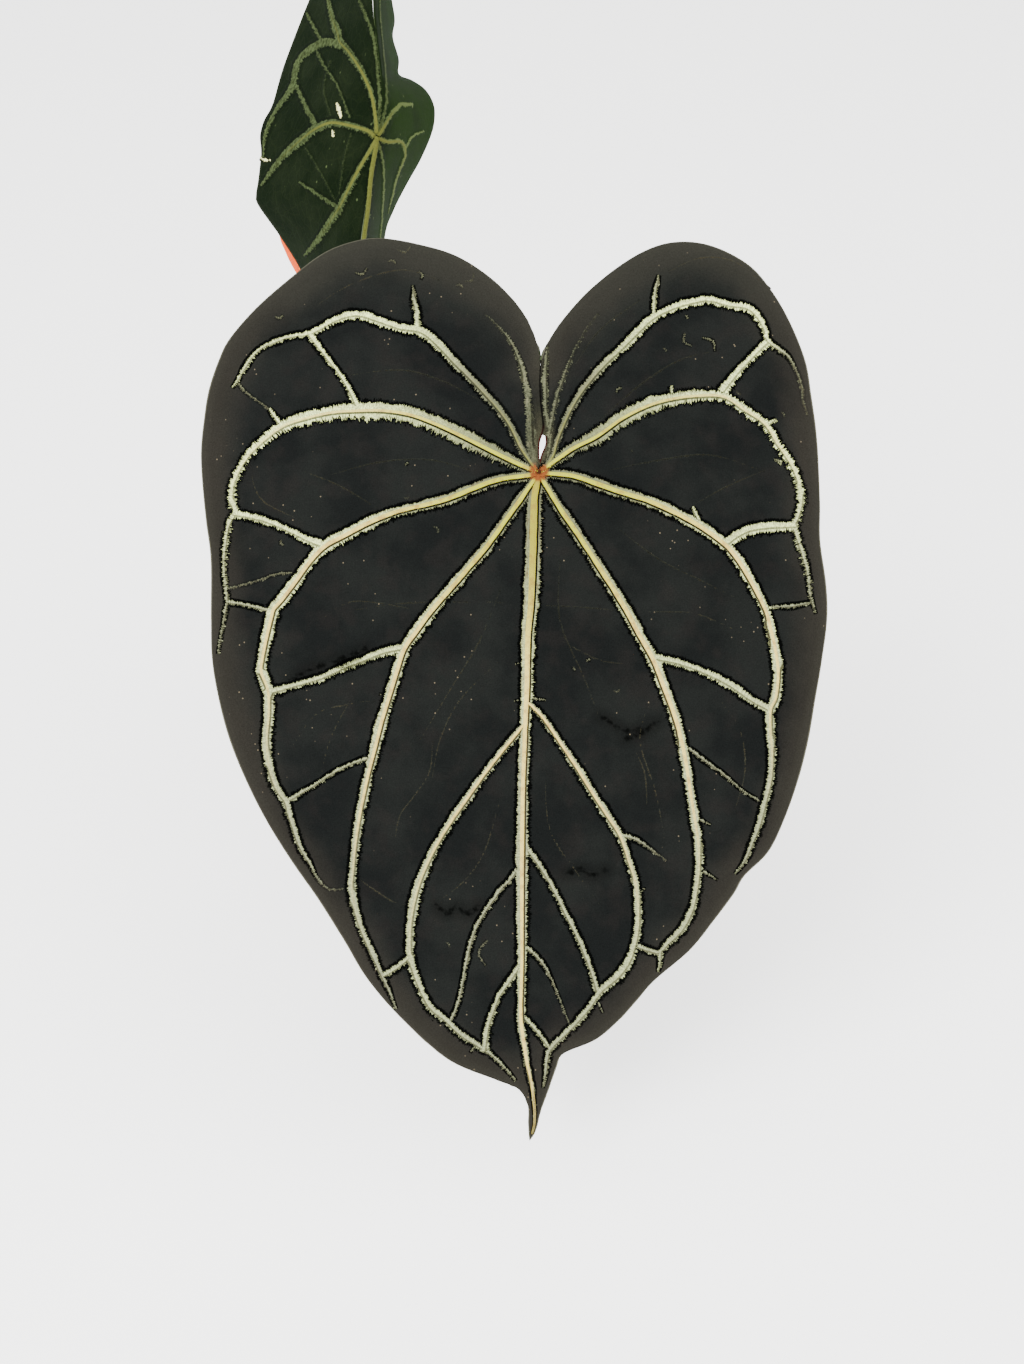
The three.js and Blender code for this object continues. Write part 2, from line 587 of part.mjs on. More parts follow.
// Chips of bark that lie sunk in the mound, each turned and tilted its own way
function barkChips() {
  const random = randomFrom(CHIPS.seed);
  const between = ([low, high]) => low + random() * (high - low);
  const tilted = () => between([-CHIPS.tilt, CHIPS.tilt]);
  const chips = [];
  for (let i = 0; i < CHIPS.count; i += 1) {
    const angle = i * CHIPS.turn + random() * 0.5;
    const radius = CHIPS.reach * Math.sqrt((i + 0.5) / CHIPS.count);
    const [x, y] = [Math.cos(angle) * radius, Math.sin(angle) * radius];
    const chip = new THREE.BoxGeometry(between(CHIPS.long), between(CHIPS.wide), between(CHIPS.thick));
    chip.rotateX(tilted()).rotateY(tilted()).rotateZ(random() * Math.PI).translate(x, y, soilTop(x, y));
    chips.push(chip);
  }
  return chips;
}

// Bark mix: the mound with its chips, and plain holes where the stem and roots go in
function soil(holes) {
  const bottom = POT.floor + CLEARANCE;
  const points = [new THREE.Vector3(0, 0, bottom), new THREE.Vector3(0, 0, soilTop(0, 0))];
  const faces = [];
  const corner = (ring, side) => 2 + ring * SOIL.sides + (side % SOIL.sides);
  for (let ring = 0; ring <= SOIL.rings; ring += 1) {
    for (let side = 0; side < SOIL.sides; side += 1) {
      const angle = (side / SOIL.sides) * 2 * Math.PI;
      const inside = potInside(ring === 0 ? bottom : SOIL.edgeHeight) - CLEARANCE;
      const wall = inside * Math.cos(Math.PI / SOIL.sides) ** 2;
      const radius = ring === 0 ? wall : wall * (1 - (ring - 1) / SOIL.rings);
      const [x, y] = [Math.cos(angle) * radius, Math.sin(angle) * radius];
      points.push(new THREE.Vector3(x, y, ring === 0 ? bottom : soilTop(x, y)));
    }
  }
  for (let side = 0; side < SOIL.sides; side += 1) {
    faces.push([0, corner(0, side + 1), corner(0, side)]);
    faces.push([1, corner(SOIL.rings, side), corner(SOIL.rings, side + 1)]);
    for (let ring = 0; ring < SOIL.rings; ring += 1) {
      const [a, b] = [corner(ring, side), corner(ring, side + 1)];
      const [c, d] = [corner(ring + 1, side + 1), corner(ring + 1, side)];
      faces.push([a, b, c], [a, c, d]);
    }
  }
  return cut(joined([fromFaces(points, faces), ...barkChips()]), holes);
}

// A papery sheath that stands against the stem: as wide as its foot allows, pointed at the top
function cataphyll({ turn, foot, height, spread, lean }) {
  const { columns, steps, taper } = SHEATH;
  const rows = [];
  for (let step = 0; step <= steps; step += 1) {
    const share = step / steps;
    const z = foot + height * share;
    const climb = THREE.MathUtils.inverseLerp(STEM.foot[2], STEM.top[2], z);
    const centre = stemPath.getPointAt(Math.min(climb, 1));
    const radius = STEM.radius + STEM.scar + CLEARANCE + BLADE_THICKNESS + lean * share ** 2;
    const row = [];
    for (let column = 0; column <= columns; column += 1) {
      const angle = turn + (column / columns - 0.5) * spread * (1 - share) ** taper;
      row.push(new THREE.Vector3(centre.x + Math.cos(angle) * radius, centre.y + Math.sin(angle) * radius, z));
    }
    rows.push(row);
  }
  const sheath = thicken(sheetFromGrids([{ rows, flip: false }]), BLADE_THICKNESS);
  return mainPiece(cut(sheath, stem(CLEARANCE)));
}

// A leaf stalk: a sheath where it leaves the stem, and a swollen knee below the blade.
// It ends just short of the stem and of the blade's back.
function petiole({ points, radii, steps }, leafBlade) {
  const stalk = limb(spaceCurve(points), radii, STALK_SIDES, steps);
  return mainPiece(cut(cut(stalk, stem(CLEARANCE)), leafBlade));
}

const FRONT_STALK = {
  points: [[1, 0, 116], [1.5, -12, 138], [3, -40, 178], [6, -74, 204],
    [8, -98, 215.5], place(539, 481, 504.2).toArray()],
  radii: [5.2, 4.6, 3.6, 3.3, 3.1, 3, 3, 3.2, 4, 4.2, 3.6],
  steps: 18,
};
const BACK_STALK = {
  points: [[-2, 8, 116], ...[
    [492, 512, 664], [450, 440, 676], [408, 345, 676], [379, 262, 660], [366, 196, 618], [371, 158, 584],
    [375.5, 147, 562],
  ].map(([x, y, depth]) => place(x, y, depth).toArray())],
  radii: [5, 4.4, 3.4, 3, 2.8, 2.7, 2.7, 2.8, 3.4, 3.5, 3],
  steps: 20,
};
const YOUNG_STALK = {
  points: [[5, 8, 110], [8, 23, 122], [-6, 54, 142], [-38, 92, 172], [-70, 115, 208], [-85, 120, 238],
    place(316, 195, 671.2).toArray()],
  radii: [3.8, 3, 2.2, 2, 1.9, 1.8, 1.8, 2, 2.2, 2],
  steps: 14,
};

const finish = {
  clay: { color: "#b5623c", roughness: 0.85, metalness: 0 },
  bark: { color: "#5b3f2a", roughness: 1, metalness: 0 },
  stem: { color: "#6f6a45", roughness: 0.8, metalness: 0 },
  sheath: { color: "#9c7b52", roughness: 0.8, metalness: 0 },
  stalk: { color: "#6b7a3c", roughness: 0.6, metalness: 0 },
  velvet: { color: "#2e332d", roughness: 0.95, metalness: 0 },
  silver: { color: "#e6e5c7", roughness: 0.7, metalness: 0 },
  green: { color: "#22331f", roughness: 0.9, metalness: 0 },
  pale: { color: "#6f8447", roughness: 0.7, metalness: 0 },
  copper: { color: "#d3744a", roughness: 0.7, metalness: 0 },
  amber: { color: "#e8a060", roughness: 0.7, metalness: 0 },
};

const group = new THREE.Group();
function add(name, geometry, look) {
  const mesh = new THREE.Mesh(geometry, new THREE.MeshStandardMaterial(finish[look]));
  mesh.name = name;
  group.add(mesh);
}

add("pot", pot(), "clay");
add("substrate", soil(stem(CLEARANCE)), "bark");
add("stem", stem(), "stem");
add("cataphyll_right", cataphyll({ turn: -0.35, foot: 106, height: 44, spread: 1.5, lean: 7 }), "sheath");
add("cataphyll_left", cataphyll({ turn: 3.5, foot: 104, height: 40, spread: 1.3, lean: 8 }), "sheath");
add("front_petiole", petiole(FRONT_STALK, blade(FRONT, facingGrid, CLEARANCE)), "stalk");
add("front_blade", blade(FRONT, facingGrid), "velvet");
add("front_veins", net(FRONT, facingGrid, FRONT_VEINS), "silver");
add("back_petiole", petiole(BACK_STALK, blade(BACK, foldedGrid, CLEARANCE)), "stalk");
add("back_blade", blade(BACK, foldedGrid), "green");
add("back_veins", net(BACK, foldedGrid, BACK_VEINS), "pale");
add("young_petiole", petiole(YOUNG_STALK, blade(YOUNG, foldedGrid, CLEARANCE)), "stalk");
add("young_blade", blade(YOUNG, foldedGrid), "copper");
add("young_veins", net(YOUNG, foldedGrid, YOUNG_VEINS), "amber");

export default group;
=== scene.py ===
# %% [markdown]
# # A potted anthurium hybrid
# The plant has three heart-shaped leaves on a short stem, in bark mix, in a clay pot. The packed
# frame holds every piece as a plain solid at its real place and size. Each step here makes one
# piece or one finish, as a surface worked out with numpy. The frame's own box is kept first, and
# is printed with the dressed plant's box at the end.

# %% Load the frame
import math

import bmesh
import bpy
import numpy as np
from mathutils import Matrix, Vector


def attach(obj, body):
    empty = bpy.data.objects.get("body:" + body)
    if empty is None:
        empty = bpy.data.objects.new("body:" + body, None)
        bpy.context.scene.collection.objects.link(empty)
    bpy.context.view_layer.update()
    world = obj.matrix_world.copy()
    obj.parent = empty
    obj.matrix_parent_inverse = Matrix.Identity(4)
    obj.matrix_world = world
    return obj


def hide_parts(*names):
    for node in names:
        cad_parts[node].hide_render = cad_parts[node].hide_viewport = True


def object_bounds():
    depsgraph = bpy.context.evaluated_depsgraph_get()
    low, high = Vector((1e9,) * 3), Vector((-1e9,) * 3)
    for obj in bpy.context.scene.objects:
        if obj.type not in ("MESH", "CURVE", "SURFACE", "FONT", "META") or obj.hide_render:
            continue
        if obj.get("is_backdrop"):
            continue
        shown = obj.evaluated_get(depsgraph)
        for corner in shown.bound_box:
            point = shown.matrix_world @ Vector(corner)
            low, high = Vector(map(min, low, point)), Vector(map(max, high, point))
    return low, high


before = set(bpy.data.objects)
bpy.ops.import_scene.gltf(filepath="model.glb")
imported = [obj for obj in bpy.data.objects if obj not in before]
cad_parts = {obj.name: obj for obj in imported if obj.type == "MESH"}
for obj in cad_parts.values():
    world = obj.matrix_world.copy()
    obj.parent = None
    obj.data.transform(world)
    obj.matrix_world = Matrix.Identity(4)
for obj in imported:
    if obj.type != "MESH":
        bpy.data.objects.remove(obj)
cad_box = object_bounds()
print("solids in the frame:", len(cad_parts))

# %% [markdown]
# ## The view point
# The leaves were drawn from one picture, so their outlines and veins are in picture units. A
# picture place and a depth give one point in space: from the eye, go that depth along the line of
# sight, then across and up by the place's offset from the picture's middle, which grows with the
# depth. The solids follow the same rule, so a vein drawn here falls where the solid has it. The
# camera stands at that eye and looks down by 35 degrees.

# %% The view point and the camera
MM = 0.001
VIEW_ELEVATION = math.radians(35)
VIEW_FOCAL = 1500.0
PICTURE = (1024, 1364)
VIEW_CENTRE = (PICTURE[0] / 2, PICTURE[1] / 2)
VIEW_TARGET = np.array([0.0, -155.6, 169.0])
FRONT_DEPTH = 500.0
SIGHT = np.array([0.0, math.cos(VIEW_ELEVATION), -math.sin(VIEW_ELEVATION)])
UPWARD = np.array([0.0, math.sin(VIEW_ELEVATION), math.cos(VIEW_ELEVATION)])
ACROSS = np.array([1.0, 0.0, 0.0])
EYE = VIEW_TARGET - FRONT_DEPTH * SIGHT


def place(x, y, depth):
    """Millimetres of what is seen at picture place x, y: eye + sight * depth, plus the offset from
    the picture's centre * depth / focal length, across and up."""
    x, y, depth = np.broadcast_arrays(np.asarray(x, float), y, depth)
    scale = depth / VIEW_FOCAL
    aside = ((x - VIEW_CENTRE[0]) * scale)[..., None] * ACROSS
    above = ((VIEW_CENTRE[1] - y) * scale)[..., None] * UPWARD
    return EYE + depth[..., None] * SIGHT + aside + above


def linked(name, data):
    """A new object in the scene, made of this data."""
    thing = bpy.data.objects.new(name, data)
    bpy.context.collection.objects.link(thing)
    return thing


def make_camera():
    """A camera at the eye. Its lens gives the focal length on the picture's long side."""
    data = bpy.data.cameras.new("camera")
    data.sensor_width = 36
    data.lens = data.sensor_width * VIEW_FOCAL / PICTURE[1]
    camera = linked("camera", data)
    camera.location = EYE * MM
    camera.rotation_euler = (math.pi / 2 - VIEW_ELEVATION, 0, 0)
    bpy.context.scene.camera = camera
    return camera


print("camera at", tuple(round(v, 3) for v in make_camera().location))

# %% [markdown]
# ## Curves
# Leaf margins, veins and stalks are smooth lines through a few points. A Bezier curve would need
# handles as well. A Catmull-Rom curve passes through its points: each stretch is a cubic whose end
# slopes come from the neighbouring points. It is sampled densely and its length is added up, so
# that rows and steps at even shares of the length come out evenly spaced.

# %% Curves through points
CURVE_SAMPLES = 24


def curve_at(points, shares, power=0.0):
    """Points at the given shares of the length of a Catmull-Rom curve. power 0 spaces the knots
    evenly, and 0.5 by the square root of their distance, which keeps curves in space calm."""
    knots = np.asarray(points, float)
    first, last = (2 * knots[0] - knots[1], 2 * knots[-1] - knots[-2]) if power else knots[[0, -1]]
    knots = np.vstack([first, knots, last])
    a, b, c, d = knots[:-3], knots[1:-2], knots[2:-1], knots[3:]
    gaps = ((a, b), (b, c), (c, d))
    before, here, after = (np.linalg.norm(q - p, axis=1)[:, None] ** power for p, q in gaps)
    slope = ((b - a) / before - (c - a) / (before + here) + (c - b) / here) * here
    slope_end = ((c - b) / here - (d - b) / (here + after) + (d - c) / after) * here
    w = np.linspace(0, 1, CURVE_SAMPLES, endpoint=False)[None, :, None]
    a, b, c, d = b[:, None], c[:, None], slope[:, None], slope_end[:, None]
    dense = a + c * w + (3 * (b - a) - 2 * c - d) * w**2 + (2 * (a - b) + c + d) * w**3
    dense = np.vstack([dense.reshape(-1, knots.shape[1]), knots[-2]])
    length = np.concatenate([[0], np.cumsum(np.linalg.norm(np.diff(dense, axis=0), axis=1))])
    wanted = np.asarray(shares) * length[-1]
    return np.stack([np.interp(wanted, length, dense[:, i]) for i in range(dense.shape[1])], axis=-1)


def curve_length(points):
    """Length of the curve through the points."""
    return np.linalg.norm(np.diff(curve_at(points, np.linspace(0, 1, 400)), axis=0), axis=1).sum()


def along(values, shares):
    """A value read from a short list that is spread evenly from 0 to 1."""
    return np.interp(shares, np.linspace(0, 1, len(values)), values)


def unit(vectors):
    """Vectors brought to length 1; those without a length are left alone."""
    length = np.linalg.norm(vectors, axis=-1, keepdims=True)
    return vectors / np.where(length > 1e-9, length, 1)


def round_spots(turn):
    """Places on a circle of radius 1 at these angles."""
    return np.stack([np.cos(turn), np.sin(turn)], axis=-1)


print("curve helpers ready")

# %% [markdown]
# ## From grids to pieces
# A surface is a grid of points, rows by columns, and each cell of the grid is one face. A limb or
# a vein is a row of closed rings with a cap at each end. Grids that meet share their border, so
# doubles are merged and the faces turned outwards afterwards. Numbers that a finish needs, such
# as the distance from the leaf's margin, are kept at each point as an attribute.

# %% From grids to pieces
MERGE_MM = 0.002


def sheet_faces(rows, columns, first=0):
    """Corners of each cell of a grid of points that is numbered row by row."""
    a = (np.arange(rows - 1)[:, None] * columns + np.arange(columns - 1)).ravel() + first
    return np.stack([a, a + 1, a + columns + 1, a + columns], axis=1).tolist()


def ring_faces(rings, sides, first=0):
    """Faces between closed rings of points, and one face that closes each end."""
    ring, side = np.meshgrid(np.arange(rings - 1), np.arange(sides), indexing="ij")
    a = (ring * sides + side).ravel() + first
    b = (ring * sides + (side + 1) % sides).ravel() + first
    walls = np.stack([a, b, b + sides, a + sides], axis=1).tolist()
    foot = list(range(first, first + sides))[::-1]
    top = list(range(first + (rings - 1) * sides, first + rings * sides))
    return walls + [foot, top]


class Parts:
    """Surfaces gathered for one piece: their points, faces and the numbers kept at each point."""

    def __init__(self):
        self.points = []
        self.faces = []
        self.kept = {}
        self.count = 0

    def add(self, points, faces_of, **kept):
        """Adds one grid or row of rings, of shape (rows, columns, 3)."""
        rows, columns = points.shape[:2]
        self.points.append(points.reshape(-1, 3))
        self.faces += faces_of(rows, columns, self.count)
        for name, values in kept.items():
            self.kept.setdefault(name, []).append(np.broadcast_to(values, (rows, columns)).ravel())
        self.count += rows * columns


def make_piece(name, parts, slot, replaces=(), sharp=None, merge=True):
    """One finished piece: a mesh in metres whose doubles are merged and whose faces point out."""
    mesh = bpy.data.meshes.new(name)
    mesh.from_pydata((np.vstack(parts.points) * MM).tolist(), [], parts.faces)
    for kept, values in parts.kept.items():
        layer = mesh.attributes.new(kept, "FLOAT", "POINT")
        layer.data.foreach_set("value", np.concatenate(values).astype(np.float32))
    shape = bmesh.new()
    shape.from_mesh(mesh)
    if merge:
        bmesh.ops.remove_doubles(shape, verts=shape.verts, dist=MERGE_MM * MM)
    bmesh.ops.recalc_face_normals(shape, faces=shape.faces)
    shape.to_mesh(mesh)
    shape.free()
    mesh.shade_smooth()
    if sharp:
        mesh.set_sharp_from_angle(angle=math.radians(sharp))
    piece = linked(name, mesh)
    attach(piece, "root")
    for node in replaces:
        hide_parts(node)
    print(name, "faces:", len(mesh.polygons))
    return piece


print("piece helpers ready")

# %% [markdown]
# ## Finishes
# Each finish is a Principled shader whose colour, roughness and relief come from noise at the
# real scale of the plant's grain, mottling and fibres, read at the piece's own place in space, so
# that it stays with the piece from every side. This helper adds one node at a time and gives back
# the socket that the next node takes, so that a finish reads as a short recipe.

# %% A finish, mixed node by node


def ink(red, green, blue):
    """The paint that shows as this colour, 0 to 255, under this scene's light. The picture's tone
    curve is steep in the darks and flat in the lights: paint = 0.047 * (v / (255 - v)) ^ 1.25."""
    return (*(min(0.92, 0.047 * (v / (255 - v)) ** 1.25) for v in (red, green, blue)), 1.0)


class Finish:
    """A material under way. Each method adds a node and gives back the socket to use next."""

    def __init__(self, name):
        self.material = bpy.data.materials.new(name)
        self.material.use_nodes = True
        self.tree = self.material.node_tree
        self.tree.nodes.clear()
        self.shader = self.node("BsdfPrincipled")
        self.node("OutputMaterial", {"Surface": self.shader.outputs["BSDF"]})
        self.spot = self.node("TexCoord").outputs["Object"]

    def feed(self, sockets, values):
        """Each named or numbered socket takes another node's output, or a plain value."""
        for key, value in values.items():
            if isinstance(value, bpy.types.NodeSocket):
                self.tree.links.new(value, sockets[key])
            else:
                sockets[key].default_value = value

    def node(self, kind, values=None, **settings):
        """A new node, set up and fed."""
        node = self.tree.nodes.new(f"ShaderNode{kind}")
        for name, value in settings.items():
            setattr(node, name, value)
        self.feed(node.inputs, values or {})
        return node

    def kept(self, name):
        """The number kept at each point under this name."""
        return self.node("Attribute", attribute_name=name).outputs["Fac"]

    def math(self, operation, *values):
        """Arithmetic on one to three values."""
        return self.node("Math", dict(enumerate(values)), operation=operation).outputs[0]

    def times(self, first, *others):
        """A product."""
        for other in others:
            first = self.math("MULTIPLY", first, other)
        return first

    def spread(self, value, low, high, start=0.0, end=1.0):
        """The value's way from low to high, eased, as a number from start to end."""
        values = dict(enumerate((value, low, high, start, end)))
        return self.node("MapRange", values, interpolation_type="SMOOTHSTEP").outputs[0]

    def moved(self, scale):
        """The piece's own place, stretched."""
        return self.node("Mapping", {"Vector": self.spot, "Scale": scale}).outputs[0]

    def joined(self, x, y=0.0, z=0.0):
        """Three numbers as one place."""
        return self.node("CombineXYZ", {"X": x, "Y": y, "Z": z}).outputs[0]

    def parted(self):
        """The piece's own place as three numbers."""
        return self.node("SeparateXYZ", {0: self.spot}).outputs

    def noise(self, size, detail=3.0, rough=0.55, vector=None):
        """Soft noise whose blobs are about this many millimetres across."""
        values = {"Vector": vector or self.spot, "Scale": 1 / (size * MM)}
        return self.node("TexNoise", values | {"Detail": detail, "Roughness": rough}).outputs["Fac"]

    def cells(self, size, feature="F1", vector=None):
        """Cells about this many millimetres across: how far it is to a cell's middle or edge."""
        values = {"Vector": vector or self.spot, "Scale": 1 / (size * MM)}
        return self.node("TexVoronoi", values, feature=feature).outputs["Distance"]

    def mix(self, share, first, second, blend="MIX"):
        """The first colour, and this share of the second."""
        values = {0: share, 6: first, 7: second}
        return self.node("Mix", values, data_type="RGBA", blend_type=blend).outputs[2]

    def layered(self, colour, *layers):
        """The colour with inks over it. Each layer is an ink and the value and span it grows by."""
        for paint, value, *span in layers:
            colour = self.mix(self.spread(value, *span), colour, paint)
        return colour

    def tinted(self, first, second, value, *span):
        """The first colour, which gives way to the second as the value spreads over this span."""
        return self.layered(first, (second, value, *span))

    def grained(self, colour, grain, share):
        """The colour, darker and lighter by this share where the grain is low and high."""
        dark, light = ((*[1 + way] * 3, 1) for way in (-share, share))
        return self.mix(1.0, colour, self.ramp(grain, (0.3, dark), (0.7, light)), "MULTIPLY")

    def ramp(self, value, *stops):
        """A colour read from a scale of (place, colour) stops."""
        node = self.node("ValToRGB", {0: value})
        scale = node.color_ramp.elements
        scale.remove(scale[1])
        scale[0].position, scale[0].color = stops[0]
        for position, colour in stops[1:]:
            scale.new(position).color = colour
        return node.outputs[0]

    def bump(self, height, depth, base=None):
        """Relief: a height from 0 to 1 stands for this many millimetres."""
        values = {"Distance": depth * MM, "Height": height}
        if base:
            values["Normal"] = base
        return self.node("Bump", values).outputs[0]

    def done(self, colour, roughness, relief=None, **sockets):
        """Feeds the shader and gives back the material."""
        values = {name.replace("_", " "): value for name, value in sockets.items()}
        values |= {"Base Color": colour, "Roughness": roughness}
        if relief:
            values["Normal"] = relief
        self.feed(self.shader.inputs, values)
        return self.material


print("helpers ready")

# %% [markdown]
# ## The front leaf: outline and veins
# The large leaf faces the view, so it can be drawn as it is seen. Each half has a margin from the
# tip round to the mouth of the slit between the lobes, and a sinus edge from the stalk's junction
# up to that mouth. A vein is a line with widths along it. Its core says how strongly the raised
# yellow middle shows, its shine how silvery the band is, and its hairs how far the band frays into
# the velvet; each list is spread evenly along the vein. The border is how far the ribbon reaches
# past its band, as a share of the usual.

# %% The front leaf in picture units
HALVES = ("left", "right")
FRONT = {
    "midrib": [
        (529.5, 1141), (534, 1118), (527, 1062), (521, 1015), (522, 943), (523, 828), (525.7, 718),
        (531, 603), (534.6, 520), (539, 472)],
    "left": {
        "margin": [
            (529.5, 1141), (528.5, 1124), (528, 1106), (518, 1089), (496, 1080), (449, 1060), (403, 1020),
            (368, 980), (344, 940), (319, 900), (291, 860), (266, 820), (246, 780), (230, 740), (219, 700),
            (212, 660), (211, 620), (211, 560), (206, 520), (202, 480), (201, 450), (204, 420), (209, 390),
            (219, 360), (230, 338), (256, 308), (289, 279), (322, 254), (351, 242), (380, 238), (418, 244),
            (457, 256), (492, 279), (520, 308), (534.7, 336), (540.6, 361)],
        "sinus": [
            (539, 472), (538.7, 457), (539.3, 442), (543.2, 427), (540.6, 401), (539.7, 380), (540.7, 361)],
        "junction_share": 0.63,
    },
    "right": {
        "margin": [
            (529.5, 1141), (535.5, 1131), (541, 1110), (549, 1088), (556, 1068), (563, 1054), (595, 1040),
            (619, 1020), (637, 1000), (655, 980), (690, 950), (714, 920), (734, 893), (744, 876), (768, 852),
            (784, 820), (798, 780), (808, 740), (815, 700), (822, 660), (827, 620), (826, 585), (820, 540),
            (820, 500), (817, 440), (811, 395), (805, 360), (789, 320), (769, 287), (746, 263), (709, 245),
            (674, 242), (642, 252), (607, 275), (577, 303), (551.5, 336), (541.5, 361)],
        "sinus": [(539, 472), (541, 457), (546.2, 442), (543.8, 427), (540.9, 401), (540, 380), (541.2, 361)],
        "junction_share": 0.63,
    },
}


MAIN_SHINE = (0.8, 0.9, 1, 1, 1, 1, 0.95, 0.9, 0.8)
SIDE_LOOK = {"core": (0.5, 0.4, 0.2, 0.05, 0), "shine": (0.85, 0.95, 1, 1, 1, 1, 0.9, 0.8)}


def vein(points, widths, core=(0,), shine=(1,), hairs=0.5, border=1.0):
    """One vein: its line and how its width and look change along it."""
    return dict(points=points, widths=widths, core=core, shine=shine, hairs=hairs, border=border)


